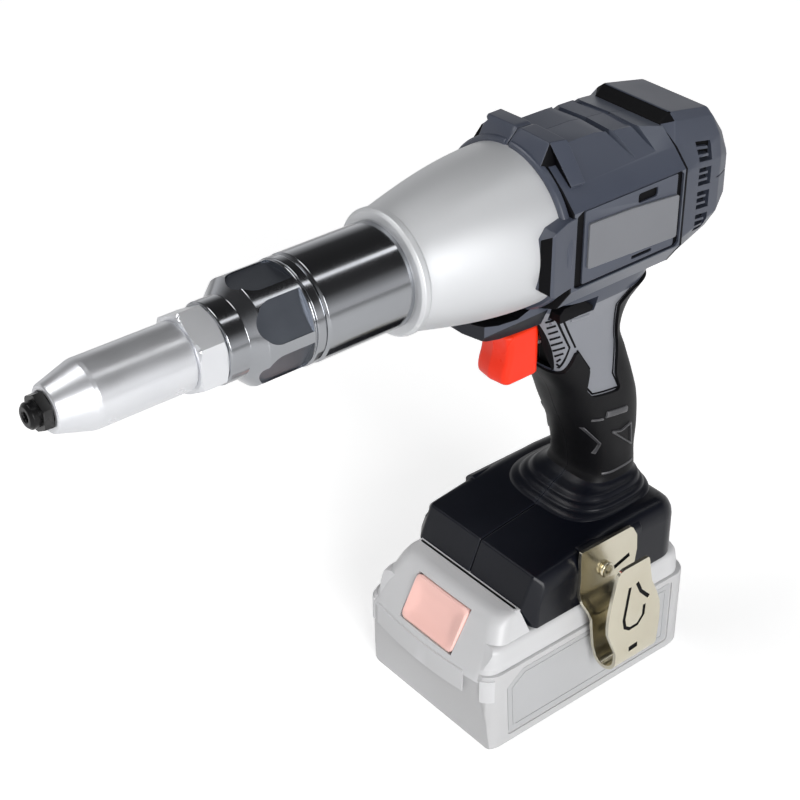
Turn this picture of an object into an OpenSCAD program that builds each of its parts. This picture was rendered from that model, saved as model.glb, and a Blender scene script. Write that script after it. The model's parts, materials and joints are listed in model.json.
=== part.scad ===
// Battery rivet tool. A motor turns a two-stage planetary gear and a ball nut, and the nut's screw
// pulls three jaws back inside the nose. The nose points to -X, the tool's left side faces -Y,
// and the battery stands on z = 0 with its centre over the origin.

/* [Layout] */
// Height of the tool axis above the floor
axis_h = 218; // [212:1:224]
// Distance from the battery centre forward to the motor housing's front edge
housing_front = 22; // [20:1:24]

/* [Nose] */
// Length of the nosepiece in front of the sleeve
nosepiece_l = 7; // [6:0.5:9]
// Radius of the nosepiece's round tip
nosepiece_r = 4.6; // [4.2:0.1:5]
// Radius of the hole for a rivet's mandrel
mandrel_r = 1.7; // [1.2:0.1:2.2]
// Length of the chromed sleeve in front of its lock nut
sleeve_l = 50; // [46:1:56]
// Radius of the chromed sleeve
sleeve_r = 12.3; // [12:0.1:13]
// Length of the sleeve's front cone
sleeve_cone_l = 11; // [9:0.5:13]
// Length of the lock nut
lock_nut_l = 11; // [9:0.5:13]
// Width of the lock nut across its flats
lock_nut_af = 27; // [26:0.5:29]

/* [Coupling and barrel] */
// Length of the coupling behind the lock nut
coupling_l = 36; // [33:1:40]
// Radius of the coupling
coupling_r = 19.4; // [18.8:0.1:20]
// Width of the coupling across its milled flats
coupling_af = 34.5; // [33.5:0.5:37]
// Length of the black barrel
barrel_l = 38; // [35:1:42]
// Radius of the black barrel
barrel_r = 20; // [19.6:0.1:20.8]

/* [Gear housing] */
// Length of the metal gear housing in front of the motor housing
gear_case_l = 59; // [57:1:63]
// Step from the motor housing's side down to the gear housing
gear_case_step = 0.4; // [0.2:0.1:0.8]
// Radius of the gear housing's front rim
gear_case_rim_r = 24; // [23.4:0.1:25]

/* [Motor housing] */
// Length of the moulded motor housing
motor_housing_l = 62; // [60:1:66]
// Half width of the motor housing
housing_r = 32; // [31.6:0.1:33]
// Length of the rear cover
rear_cover_l = 32; // [31:0.5:36]
// Thickness of the moulded walls
wall = 3; // [2.6:0.1:3.4]

/* [Handle and base] */
// Depth of the handle from front to rear
handle_depth = 40; // [38:1:42]
// Width of the handle
handle_w = 33; // [32:0.5:34]
// Thickness of the rubber on the handle
grip_t = 1.4; // [1:0.1:1.8]
// Distance from the battery centre to the base's front
base_front = 36; // [34:1:38]
// Distance from the battery centre to the base's rear
base_rear = 51; // [50:0.5:53]
// Width of the base
base_w = 73; // [71:1:75]
// Height of the base's upper side
base_top = 84.5; // [83:0.5:87]

/* [Trigger] */
// Length of the trigger in front of the handle
trigger_l = 17; // [16:0.5:19]
// Height of the trigger
trigger_h = 21; // [20:0.5:22]
// Width of the trigger
trigger_w = 17; // [16:0.5:17.5]
// Travel of the trigger
trigger_travel = 6; // [5:0.5:6.5]

/* [Battery] */
// Length of the battery
battery_l = 115; // [113:1:118]
// Width of the battery
battery_w = 77; // [76:0.5:79]
// Height of the battery's lower case
lower_case_h = 40; // [39.5:0.5:41]
// Diameter of one cell
cell_d = 18.2; // [18:0.1:18.4]
// Length of one cell
cell_l = 65; // [64:0.5:66]

/* [Drive] */
// Width of the planet gears
gear_w = 8; // [7:0.5:8.5]
// Radius of the ball screw
screw_r = 6; // [5.5:0.1:6.3]
// Advance of the screw for one turn of the nut
screw_lead = 5; // [4:0.5:6]
// Longest pull of the jaws
stroke = 25; // [20:1:25]
// Thickness of the housing beside the stator
stator_wall = 4.1; // [4.1:0.1:5]

/* [Belt hook] */
// Thickness of the hook's steel strip
hook_t = 1.6; // [1.2:0.1:2]
// Space for a belt inside the hook
hook_gap = 8.4; // [7:0.2:9]
// Width of the hook's strip
hook_w = 26; // [24:0.5:28]

/* [Hidden] */
$fn = 48;
// Clearance between pieces that move past each other
run_gap = 0.3;
// Clearance between pieces that are seated in each other
seat_gap = 0.05;
// How far a cutting tool reaches past a face
overrun = 1;
// Number of corners of a lofted ring
ring_sides = 24;

// Stations along the tool axis, from the nose to the rear
housing_front_x = -housing_front;
rear_seam_x = housing_front_x + motor_housing_l;
rear_x = rear_seam_x + rear_cover_l;
case_front_x = housing_front_x - gear_case_l;
barrel_front_x = case_front_x - barrel_l;
coupling_front_x = barrel_front_x - coupling_l;
nut_front_x = coupling_front_x - lock_nut_l;
sleeve_front_x = nut_front_x - sleeve_l;
tip_x = sleeve_front_x - nosepiece_l;

// Nose pieces
nosepiece_tip_l = nosepiece_l * 0.5;
nosepiece_af = nosepiece_r * 2.6;
nosepiece_chamfer = nosepiece_r * 0.2;
shank_r = nosepiece_r;
shank_end_x = sleeve_front_x + sleeve_cone_l + run_gap;
sleeve_front_r = sleeve_r * 0.69;
sleeve_shoulder_r = sleeve_r * 0.94;
sleeve_bore_r = sleeve_r * 0.735;
sleeve_thread_r = sleeve_r * 0.9;
sleeve_thread_l = coupling_l * 0.25;
sleeve_rear_x = coupling_front_x + sleeve_thread_l;

// Coupling and barrel
neck_r = coupling_r * 0.765;
neck_l = coupling_l * 0.22;
neck_cone_l = coupling_l * 0.12;
coupling_ring_l = coupling_l * 0.15;
coupling_bore_r = sleeve_bore_r;
flat_half_w = coupling_r * 0.4;
flat_front_x = coupling_front_x + neck_l + neck_cone_l * 0.6;
flat_rear_x = barrel_front_x - coupling_ring_l;
flats = 6;
bush_l = coupling_l * 0.28;
barrel_bore_r = barrel_r * 0.8;
barrel_spigot_r = barrel_r * 0.65;
barrel_spigot_l = barrel_l * 0.13;
barrel_wall_l = barrel_l * 0.27;
barrel_tail_r = barrel_r * 0.925;
barrel_tail_l = gear_case_l * 0.25;
barrel_rear_x = case_front_x + barrel_tail_l;
screw_hole_r = barrel_r * 0.4;

// Gear housing
gear_case_r = housing_r - gear_case_step;
stator_r = housing_r - stator_wall;
case_bead_l = gear_case_l * 0.07;
case_neck_r = gear_case_rim_r * 0.97;
case_steps = 8;
case_spigot_l = motor_housing_l * 0.13;
case_rear_x = housing_front_x + case_spigot_l;
cavity_r = stator_r + seat_gap * 2;

// Gears, with teeth as large as the motor housing holds
tooth_size_share = 0.025;
gear_module = housing_r * tooth_size_share;
sun_teeth = 12;
planet_teeth = 18;
ring_teeth = sun_teeth + 2 * planet_teeth;
planets = 3;
pressure_angle = 25;
addendum = gear_module * 0.9;
dedendum = gear_module * 1.15;
flank_slack = gear_module * 0.09;
flank_steps = 4;
gear_gap = gear_w * 0.06;
plate_t = gear_w * 0.375;
centre_l = gear_module * (sun_teeth + planet_teeth) / 2;
ring_r = gear_module * ring_teeth / 2 * 1.195;
pin_r = gear_module * 3;
carrier_r = centre_l + pin_r * 2;
planet_1_x = housing_front_x - gear_w;
carrier_1_x = planet_1_x - gear_gap - plate_t;
planet_2_x = carrier_1_x - gear_gap - gear_w;
carrier_2_x = planet_2_x - gear_gap - plate_t;
ring_x = planet_2_x;
carrier_bore_r = carrier_r + run_gap * 2;
carrier_bore_x = carrier_2_x - run_gap * 3;
hub_bore_r = barrel_bore_r;

// Nut, screw and jaws
nut_r = barrel_bore_r * 0.91;
hub_r = barrel_bore_r * 0.75;
hub_in_r = hub_r * 0.68;
thrust_l = barrel_l * 0.16;
thrust_x = barrel_front_x + barrel_wall_l;
nut_x = thrust_x + thrust_l + run_gap;
bearing_l = barrel_tail_l * 0.47;
nut_bearing_x = barrel_rear_x - bearing_l - barrel_tail_l * 0.3;
nut_rear_x = nut_bearing_x - run_gap;
thread_depth = screw_r * 0.12;
screw_front_x = barrel_front_x - coupling_l * 0.47;
screw_rear_x = nut_rear_x - run_gap;
hex_af = screw_r * 1.66;
jaw_angle = 12;
jaw_case_r = sleeve_bore_r - run_gap;
jaw_case_x = sleeve_front_x + sleeve_cone_l + run_gap * 3;
jaw_bore_r = jaw_case_r * 0.76;
jaw_mouth_r = jaw_case_r * 0.5;
jaw_lip_l = jaw_case_r * 0.2;
jaw_cone_l = (jaw_bore_r - jaw_mouth_r) / tan(jaw_angle);
jaw_cone_x = jaw_case_x + jaw_lip_l;
jaw_l = jaw_cone_l * 0.75;
jaw_x = jaw_cone_x + jaw_cone_l * 0.22;
jaw_slack = run_gap;
jaw_hole_r = mandrel_r * 1.15;
jaw_split = jaw_case_r * 0.07;
pusher_x = jaw_x + jaw_l + run_gap;
pusher_l = jaw_case_r * 0.36;
pusher_r = jaw_bore_r * 0.82;
spring_wire_r = screw_r * 0.055;
jaw_spring_l = jaw_case_r * 0.66;
rod_front_x = pusher_x + pusher_l + jaw_spring_l;
rod_head_l = jaw_case_r * 0.95;
jaw_case_l = rod_front_x + rod_head_l - jaw_case_x;

// Motor
shaft_r = gear_module * 3.75;
bearing_r = shaft_r * 2.67;
motor_bearing_l = shaft_r * 1.67;
motor_plate_t = motor_housing_l * 0.065;
motor_plate_x = housing_front_x + gear_gap + motor_plate_t * 0.5;
pinion_end_x = housing_front_x + gear_gap;
stator_l = motor_housing_l * 0.42;
stator_x = case_rear_x + motor_housing_l * 0.097;
stator_teeth = 6;
rotor_r = stator_r * 0.44;
air_gap = run_gap * 2;
yoke_r = stator_r * 0.82;
tooth_half_w = stator_r * 0.125;
coil_half_w = stator_r * 0.225;
coil_in_r = stator_r * 0.52;
coil_out_r = yoke_r - seat_gap * 2;
coil_over_l = motor_housing_l * 0.056;
fan_x = stator_x + stator_l + motor_housing_l * 0.113;
fan_l = motor_housing_l * 0.13;
fan_r = stator_r * 0.86;
fan_hub_r = shaft_r * 2.3;
fan_disc_t = fan_l * 0.2;
fan_blades = 12;
fan_blade_t = fan_l * 0.15;
rear_bearing_x = rear_seam_x + rear_cover_l * 0.11;
shaft_rear_x = rear_bearing_x + motor_bearing_l + run_gap;

// Moulded housing
section_shares = [[0.4, 0.95], [0.8, 0.68], [1, 0.47], [1, -0.53], [0.8, -0.82], [0.42, -0.97]];
collar_shares = [[0.36, 1.16], [0.55, 1.02], [0.82, 0.68], [0.92, 0.45]];
collar_l = motor_housing_l * 0.2;
collar_x = housing_front_x + motor_housing_l * 0.06;
lug_l = motor_housing_l * 0.16;
lug_in = housing_r * 0.8;
lug_out = housing_r * 1.02;
lug_top = housing_r * 0.38;
lug_bottom = housing_r * 0.44;
chin_l = gear_case_l * 0.54;
chin_half_w = housing_r * 0.42;
chin_rear = handle_depth * 0.25;
chin_bottom_z = axis_h - housing_r * 1.36;
chin_shares = [[0, 0.89], [0.2, 1.08], [0.5, 1.25], [0.84, 1.34]];
chin_edge_shares = [[1, 0.7], [1, 1.14], [0.6, 1.36], [-0.6, 1.36], [-1, 1.14], [-1, 0.7]];
handle_top = axis_h - housing_r * 0.8;
trigger_top_z = chin_bottom_z - run_gap * 2;
// Height of a handle station: shares up to the first mark grow from the base, the rest follow the trigger
handle_low_share = 0.13;
handle_low_z = base_top + base_front * 0.39;
handle_mark_shares = [0.59, 0.815];
handle_mark_z = [trigger_top_z - trigger_h * 1.225, trigger_top_z - trigger_h * 0.07];
function handle_z(s) = s < handle_low_share ? base_top + (handle_low_z - base_top) * s / handle_low_share
    : lookup(s, [[handle_low_share, handle_low_z], [handle_mark_shares[0], handle_mark_z[0]],
        [handle_mark_shares[1], handle_mark_z[1]], [1, handle_top]]);
// Handle sections as shares of its height, depth (front, rear) and half width
handle_shares = [[-0.05, 0.2, 1.18, 1.35], [0, 0.25, 1.2, 1.32], [0.02, 0.38, 1.19, 1.12],
    [0.06, 0.5, 1.12, 0.94], [0.13, 0.48, 1.11, 0.94], [0.24, 0.4, 1.12, 0.97],
    [0.37, 0.25, 1.09, 1], [0.48, 0.13, 1, 1], [0.59, -0.05, 0.9, 0.97], [0.7, -0.2, 0.8, 0.97],
    [0.815, -0.3, 0.9, 1.03], [0.907, -0.35, 1.12, 1.2], [1, -0.4, 1.25, 1.35]];
handle_round_share = 0.66;
grip_shares = [[-0.6, 0.635], [0.2, 0.67], [0.36, 0.58], [0.31, 0.5], [0.42, 0.44], [0.92, 0.385],
    [0.75, 0.515], [0.8, 0.645], [0.68, 0.81], [0.86, 0.87], [2, 0.9], [2, 0.035], [-0.6, 0.035]];
skirt_z = lower_case_h + base_top * 0.136;
base_h = base_top - skirt_z;
// Base sections as shares of its height, front, rear and half width
base_shares = [[0, 0.97, 1, 1], [0.29, 1, 1, 1], [0.62, 0.93, 1, 0.985], [0.76, 0.87, 0.985, 0.93],
    [0.88, 0.78, 0.95, 0.8],
    [0.96, 0.62, 0.9, 0.64], [1, 0.45, 0.82, 0.5]];
base_round_share = 0.2;
ceiling_z = skirt_z + base_h * 0.29;
ceiling_t = wall;
base_in_front_x = -base_front * 0.72;
base_in_rear_x = base_rear * 0.86;
base_in_half_w = base_w / 2 - wall * 1.8;
base_in_top_z = base_top - base_h * 0.2;
lip_half_w = base_in_half_w - wall * 1.2;
lip_h = base_h * 0.106;
bay_rear_x = base_rear - wall * 2;

// Rear cover
cover_flat_l = rear_cover_l * 0.1;
cover_mid_l = rear_cover_l * 0.75;
cover_seam_shares = [[0.59, 0.97], [0.78, 0.64], [0.92, 0.38], [0.92, -0.5], [0.78, -0.78], [0.42, -0.93]];
cover_low_z = axis_h + housing_r * cover_seam_shares[5][1];
cover_mid_shares = [[0.58, 0.86], [0.76, 0.6], [0.8, 0.3], [0.8, -0.42], [0.64, -0.66], [0.36, -0.8]];
cover_end_shares = [[0.4, 0.64], [0.6, 0.48], [0.66, 0.25], [0.66, -0.35], [0.5, -0.55], [0.3, -0.64]];
cover_in_r = cavity_r * 0.715;
cover_in_l = rear_cover_l * 0.6;
cover_cone_l = rear_cover_l * 0.25;
cover_cone_r = cavity_r * 0.55;
boss_r = bearing_r * 1.35;
vent_groups = 4;
vent_slots = 3;
vent_x = rear_seam_x + rear_cover_l * 0.36;
vent_l = rear_cover_l * 0.26;
vent_h = housing_r * 0.045;
vent_pitch = housing_r * 0.085;
vent_group_pitch = housing_r * 0.33;
vent_low_z = axis_h - housing_r * 0.52;

// Side plates on the motor housing
badge_front_x = housing_front_x + collar_l * 0.7;
badge_rear_x = rear_seam_x - wall * 0.8;
badge_top_z = axis_h + housing_r * 0.44;
badge_bottom_z = axis_h - housing_r * 0.5;
badge_depth = wall * 0.6;
badge_proud = wall * 0.25;

// Trigger, switch and selector
trigger_rear_x = -handle_depth * 0.25;
trigger_front_x = trigger_rear_x - trigger_l;
trigger_shares = [[0.08, 1], [0.13, 0.65], [0.07, 0.32], [0, 0.15], [0.1, 0], [1, 0.03], [1, 1]];
plunger_r = trigger_w * 0.15;
plunger_z = trigger_top_z - trigger_h * 0.5;
switch_x = 0;
switch_l = handle_depth * 0.62;
switch_half_w = handle_w * 0.29;
switch_top_z = trigger_top_z - trigger_h * 0.1;
switch_bottom_z = trigger_top_z - trigger_h * 0.9;
switch_bore_l = trigger_travel * 2.6;
plunger_l = switch_x - trigger_rear_x + trigger_travel;
shelf_t = wall;
selector_l = handle_depth * 0.46;
selector_front_x = -handle_depth * 0.24;
selector_h = housing_r * 0.2;
selector_z = axis_h - housing_r * 1.25;
selector_half_w = handle_w * 0.57;
selector_throw = handle_w * 0.09;

// Screws of the housing, given as [x, z] of their axes
screw_seat_y = handle_w * 0.25;
screw_shank_r = wall * 0.45;
screw_head_r = wall;
screw_head_l = wall * 0.7;
screw_l = handle_w * 0.52;
boss_screw_r = wall * 1.4;
handle_screw_shares = [0.12, 0.45];
housing_screw_spots = [[housing_front_x + collar_l * 0.5, axis_h + housing_r * 1.05],
    [-base_front * 0.8, ceiling_z + base_h * 0.24], [base_rear * 0.9, ceiling_z + base_h * 0.24],
    [handle_depth * 0.82, handle_z(handle_screw_shares[0])],
        [handle_depth * 0.55, handle_z(handle_screw_shares[1])],
    [handle_depth * 0.86, axis_h - housing_r * 1.06]];
cover_screw_shares = [[0.31, 0.75], [-0.31, 0.75], [0.55, -0.58], [-0.55, -0.58]];
cover_screw_spots = [for (s = cover_screw_shares) s * housing_r];
cover_screw_seat_x = rear_seam_x + rear_cover_l * 0.3;
cover_screw_l = rear_cover_l * 0.45;
cover_boss_l = motor_housing_l * 0.09;

// Boards and terminals in the base
tray_front_x = -base_front * 0.64;
tray_rear_x = base_rear * 0.1;
tray_h = base_h * 0.28;
terminal_x = base_rear * 0.2;
terminal_l = base_rear * 0.58;
terminal_half_w = base_w * 0.22;
terminal_h = base_h * 0.1;
blade_y = base_w * 0.165;
blade_t = base_w * 0.016;
blade_x = terminal_x + terminal_l * 0.2;
blade_l = terminal_l * 0.6;
blade_drop = base_h * 0.27;

// Battery
battery_half_w = battery_w / 2;
battery_rear_x = battery_l / 2;
battery_front_x = -battery_l / 2;
battery_bulge = battery_l * 0.02;
battery_corner = battery_w * 0.12;
corner_steps = 5;
case_wall = wall * 0.85;
shoulder_z = skirt_z - run_gap * 2;
shoulder_half_w = battery_half_w * 0.96;
head_half_w = base_in_half_w - run_gap;
neck_half_w = lip_half_w - run_gap;
head_bottom_z = skirt_z + lip_h + run_gap;
head_top_z = ceiling_z - run_gap;
head_front_x = -base_front * 1.02;
head_rear_x = bay_rear_x - run_gap;
upper_rear_x = battery_rear_x - battery_corner * 0.2;
hump_half_w = battery_half_w * 0.86;
hump_top_x = battery_front_x + battery_l * 0.09;
hump_low_z = lower_case_h * 0.92;
hump_rear_x = -base_front - run_gap * 2;
hump_run = hump_top_x - (battery_front_x - battery_bulge);
hump_rise = head_top_z - hump_low_z;
hump_angle = atan2(hump_rise, hump_run);
button_half_w = battery_w * 0.21;
button_l = hump_rise * 0.86;
button_t = hump_rise * 0.24;
button_press = hump_rise * 0.12;
button_proud = hump_rise * 0.035;
button_spring_l = button_press * 2.2;
cells_long = 5;
cells_high = 2;
cell_pitch = cell_d * 1.022;
label_depth = case_wall * 0.3;
label_front_x = -battery_l * 0.38;
label_rear_x = battery_l * 0.4;
label_low_z = lower_case_h * 0.1;
label_high_z = lower_case_h * 0.92;
board_t = wall * 0.55;
board_z = case_wall + run_gap + cell_pitch * cells_high + run_gap;
slot_half_w = blade_t * 1.4;

// Belt hook
hook_face_y = -base_w / 2;
hook_top_z = base_top - base_h * 0.13;
hook_jog_z = skirt_z + base_h * 0.23;
hook_jog_h = base_h * 0.18;
hook_strip_y = hook_face_y - hook_t - base_w * 0.055;
hook_bend_z = lower_case_h * 0.72;
hook_front_x = -hook_w * 0.23;
hook_plate_front_x = hook_front_x - hook_w * 0.16;
hook_plate_w = hook_w * 1.24;
hook_end_z = hook_top_z - base_h * 0.1;
hook_screw_x = hook_front_x + hook_w * 0.4;
hook_screw_z = ceiling_z + base_h * 0.15;
hook_screw_r = hook_t * 1.2;
hook_head_r = hook_t * 2.2;
hook_head_l = hook_t * 1.3;
insert_r = hook_screw_r * 1.6;
insert_l = base_w * 0.1;
insert_boss_r = insert_r * 1.5;
hook_slot_l = hook_w * 0.72;
hook_slot_h = hook_t * 1.4;
tongue_l = hook_w * 0.8;
tongue_half_w = hook_w * 0.2;
tongue_cut = hook_t * 0.9;

// Work light under the gear housing
light_shares = (chin_shares[1] + chin_shares[2]) / 2;
light_slope_shares = chin_shares[2] - chin_shares[1];
light_x = housing_front_x - chin_l * (1 - light_shares[0]);
light_z = axis_h - housing_r * light_shares[1];
light_angle = atan2(light_slope_shares[1] * housing_r, light_slope_shares[0] * chin_l);
light_l = chin_l * 0.2;
light_half_w = chin_half_w * 0.45;
light_t = housing_r * 0.07;
light_proud = light_t * 0.1;

// Shared shapes

// A box between two corners
module block(x0, x1, y0, y1, z0, z1)
    translate([x0, y0, z0]) cube([x1 - x0, y1 - y0, z1 - z0]);

// A round bar on the tool axis
module rod(x0, x1, r)
    translate([x0, 0, axis_h]) rotate([0, 90, 0]) cylinder(h = x1 - x0, r = r);

// A bar with a hole through it on the tool axis
module tube(x0, x1, r_out, r_in)
    difference() {
        rod(x0, x1, r_out);
        rod(x0 - overrun, x1 + overrun, r_in);
    }

// A body turned about the tool axis from a list of [x, radius]
module turned(profile)
    translate([0, 0, axis_h]) rotate([0, 90, 0]) rotate_extrude()
        polygon([for (p = profile) [p[1], p[0]]]);

// A flat shape in the cross plane, drawn out along the tool axis
module prism_x(x0, x1)
    translate([x0, 0, axis_h]) rotate([90, 0, 90]) linear_extrude(x1 - x0) children();

// A flat shape in the side view, drawn out across the tool
module prism_y(y0, y1)
    translate([0, y1, 0]) rotate([90, 0, 0]) linear_extrude(y1 - y0) children();

// A round bar across the tool
module cross_rod(x, z, y0, y1, r)
    translate([x, y1, z]) rotate([90, 0, 0]) cylinder(h = y1 - y0, r = r);

// A six-sided bar on the tool axis
module hex_bar(x0, x1, af)
    translate([x0, 0, axis_h]) rotate([0, 90, 0]) cylinder(h = x1 - x0, r = af / sqrt(3), $fn = 6);

// One closed ring of a lofted body at height z
function loft_ring(front_x, rear_x, half_w, z, round_share) = [for (i = [0 : ring_sides - 1])
    let (a = 360 * (i + 0.5) / ring_sides, c = cos(a), s = sin(a))
    [(front_x + rear_x) / 2 + (rear_x - front_x) / 2 * sign(c) * pow(abs(c), round_share),
        half_w * sign(s) * pow(abs(s), round_share), z]];

// A body through a stack of rings
module loft(rings) {
    n = len(rings[0]);
    last = (len(rings) - 1) * n;
    polyhedron(points = [for (r = rings) each r], faces = concat(
        [[for (i = [0 : n - 1]) i]],
        [for (k = [0 : len(rings) - 2]) for (i = [0 : n - 1]) let (j = (i + 1) % n)
            each [[k * n + i, (k + 1) * n + i, (k + 1) * n + j], [k * n + i, (k + 1) * n + j, k * n + j]]],
        [[for (i = [n - 1 : -1 : 0]) last + i]]));
}

// A mirrored outline from the points of its +Y half, top first
function mirrored(points) = concat(points,
    [for (i = [len(points) - 1 : -1 : 0]) [-points[i][0], points[i][1]]]);

// A rectangle with rounded corners
module rounded_rect(x0, x1, y0, y1, r)
    polygon([for (c = [[x1 - r, y1 - r, 0], [x0 + r, y1 - r, 90], [x0 + r, y0 + r, 180],
        [x1 - r, y0 + r, 270]])
        for (k = [0 : corner_steps])
            let (a = c[2] + 90 * k / corner_steps) [c[0] + r * cos(a), c[1] + r * sin(a)]]);

// Involute of a circle in degrees at radius r
function involute(base_r, r) = r <= base_r ? 0 : let (t = sqrt(pow(r / base_r, 2) - 1))
    t * 180 / PI - atan(t);

// Half the angle of a gear tooth at radius r
function half_tooth(teeth, r, slack) = let (pitch_r = gear_module * teeth / 2,
    base_r = pitch_r * cos(pressure_angle))
    90 / teeth + involute(base_r, pitch_r) - involute(base_r, r) - slack / pitch_r * 180 / PI;

// Outline of a gear with a tooth on the first axis
module gear_outline(teeth, tip_r, root_r, slack) {
    base_r = gear_module * teeth / 2 * cos(pressure_angle);
    low_r = max(root_r, base_r);
    radii = concat(root_r < low_r ? [root_r] : [],
        [for (k = [0 : flank_steps]) low_r + (tip_r - low_r) * k / flank_steps]);
    n = len(radii);
    polygon([for (t = [0 : teeth - 1]) for (k = [0 : 2 * n - 1])
        let (r = radii[k < n ? k : 2 * n - 1 - k], h = half_tooth(teeth, r, slack),
            a = 360 * t / teeth + (k < n ? -h : h))
        [r * cos(a), r * sin(a)]]);
}

// Outline of an outside gear of this tool
module outside_gear(teeth)
    gear_outline(teeth, gear_module * teeth / 2 + addendum, gear_module * teeth / 2 - dedendum,
        flank_slack);

// A coil spring along the first axis, as one tube
module coil(length, r, wire_r, turns) {
    sides = 8;
    steps = 16 * turns;
    loft([for (k = [0 : steps])
        let (a = 360 * turns * k / steps, x = wire_r + (length - 2 * wire_r) * k / steps)
        [for (i = [0 : sides - 1]) let (w = 360 * i / sides, q = r + wire_r * cos(w))
            [x + wire_r * sin(w), q * sin(a), q * cos(a)]]]);
}

// Nose

module nosepiece()
    color("dimgray") difference() {
        union() {
            turned([[tip_x, 0], [tip_x, nosepiece_r - nosepiece_chamfer],
                [tip_x + nosepiece_chamfer, nosepiece_r],
                [tip_x + nosepiece_tip_l, nosepiece_r], [tip_x + nosepiece_tip_l, 0]]);
            hex_bar(tip_x + nosepiece_tip_l, sleeve_front_x, nosepiece_af);
            rod(sleeve_front_x, shank_end_x, shank_r);
        }
        rod(tip_x - overrun, shank_end_x + overrun, mandrel_r);
    }

module nose_sleeve()
    color("silver") difference() {
        turned([[sleeve_front_x, 0], [sleeve_front_x, sleeve_front_r],
            [sleeve_front_x + sleeve_cone_l, sleeve_shoulder_r],
                [sleeve_front_x + sleeve_cone_l * 1.3, sleeve_r],
            [nut_front_x, sleeve_r], [nut_front_x, sleeve_thread_r],
            [sleeve_rear_x, sleeve_thread_r], [sleeve_rear_x, 0]]);
        rod(sleeve_front_x - overrun, shank_end_x + overrun, shank_r + seat_gap);
        rod(sleeve_front_x + sleeve_cone_l, sleeve_rear_x + overrun, sleeve_bore_r);
    }

module lock_nut()
    color("silver") difference() {
        intersection() {
            hex_bar(nut_front_x, coupling_front_x, lock_nut_af);
            turned([[nut_front_x, 0], [nut_front_x, lock_nut_af * 0.5],
                [nut_front_x + lock_nut_l * 0.14, lock_nut_af * 0.58],
                [coupling_front_x - lock_nut_l * 0.14, lock_nut_af * 0.58],
                    [coupling_front_x, lock_nut_af * 0.5],
                [coupling_front_x, 0]]);
        }
        rod(nut_front_x - overrun, coupling_front_x + overrun, sleeve_thread_r + seat_gap);
    }

module coupling()
    color("black") difference() {
        turned([[coupling_front_x, 0], [coupling_front_x, neck_r], [coupling_front_x + neck_l, neck_r],
            [coupling_front_x + neck_l + neck_cone_l, coupling_r], [barrel_front_x, coupling_r],
                [barrel_front_x, 0]]);
        for (k = [0 : flats - 1])
            translate([0, 0, axis_h]) rotate([360 * k / flats, 0, 0]) translate([0, 0, coupling_af / 2])
                linear_extrude(coupling_r) {
                    translate([flat_front_x + flat_half_w, -flat_half_w])
                        square([flat_rear_x - flat_front_x - flat_half_w, 2 * flat_half_w]);
                    translate([flat_front_x + flat_half_w, 0]) circle(r = flat_half_w);
                }
        rod(coupling_front_x - overrun, sleeve_rear_x, sleeve_thread_r + seat_gap);
        rod(sleeve_rear_x - overrun, barrel_front_x + overrun, coupling_bore_r);
        rod(barrel_front_x - barrel_spigot_l, barrel_front_x + overrun, barrel_spigot_r + seat_gap);
    }

module guide_bush()
    color("goldenrod") difference() {
        rod(sleeve_rear_x, sleeve_rear_x + bush_l, coupling_bore_r - seat_gap);
        hex_bar(sleeve_rear_x - overrun, sleeve_rear_x + bush_l + overrun, hex_af + 2 * run_gap);
    }

module barrel()
    color("black") difference() {
        turned([[barrel_front_x - barrel_spigot_l, 0], [barrel_front_x - barrel_spigot_l, barrel_spigot_r],
            [barrel_front_x, barrel_spigot_r], [barrel_front_x, barrel_r], [case_front_x, barrel_r],
            [case_front_x, barrel_tail_r], [barrel_rear_x, barrel_tail_r], [barrel_rear_x, 0]]);
        rod(barrel_front_x - barrel_spigot_l - overrun, barrel_rear_x + overrun, screw_hole_r);
        rod(thrust_x, barrel_rear_x + overrun, barrel_bore_r);
    }

module gear_case() {
    body_x = case_front_x + case_bead_l;
    body_l = housing_front_x - body_x;
    color("lightgray") difference() {
        turned(concat([[case_front_x, 0], [case_front_x, gear_case_rim_r], [body_x, gear_case_rim_r]],
            [for (k = [0 : case_steps]) [body_x + body_l * k / case_steps,
                case_neck_r + (gear_case_r - case_neck_r) * sin(90 * k / case_steps)]],
            [[housing_front_x, cavity_r - seat_gap], [case_rear_x, cavity_r - seat_gap],
                [case_rear_x, 0]]));
        rod(case_front_x - overrun, barrel_rear_x, barrel_tail_r + seat_gap);
        rod(barrel_rear_x - overrun, ring_x + overrun, hub_bore_r);
        rod(carrier_bore_x, ring_x + overrun, carrier_bore_r);
        rod(ring_x, case_rear_x + overrun, ring_r + seat_gap);
    }
}

// Moulded housing

module housing_section()
    polygon(mirrored([for (p = section_shares) p * housing_r]));

module handle_loft(grow)
    loft([for (s = handle_shares) loft_ring(s[1] * handle_depth - grow, s[2] * handle_depth + grow,
        s[3] * handle_w / 2 + grow, handle_z(s[0]), handle_round_share)]);

module base_loft()
    loft([for (s = base_shares) loft_ring(-s[1] * base_front, s[2] * base_rear, s[3] * base_w / 2,
        skirt_z + s[0] * base_h, base_round_share)]);

module chin()
    intersection() {
        prism_y(-chin_half_w, chin_half_w)
            polygon(concat([for (s = chin_shares) [housing_front_x - chin_l * (1 - s[0]),
                axis_h - housing_r * s[1]]],
                [[-chin_rear, chin_bottom_z], [-chin_rear, axis_h - housing_r * 0.7],
                    [housing_front_x - chin_l, axis_h - housing_r * 0.7]]));
        prism_x(housing_front_x - chin_l - overrun, 0)
            polygon([for (p = chin_edge_shares) [p[0] * chin_half_w, -p[1] * housing_r]]);
    }

module work_light_body(grow)
    translate([light_x, 0, light_z]) rotate([0, light_angle, 0])
        block(-light_l / 2 - grow, light_l / 2 + grow, -light_half_w - grow, light_half_w + grow,
            -light_proud - grow, light_t + grow);

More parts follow.
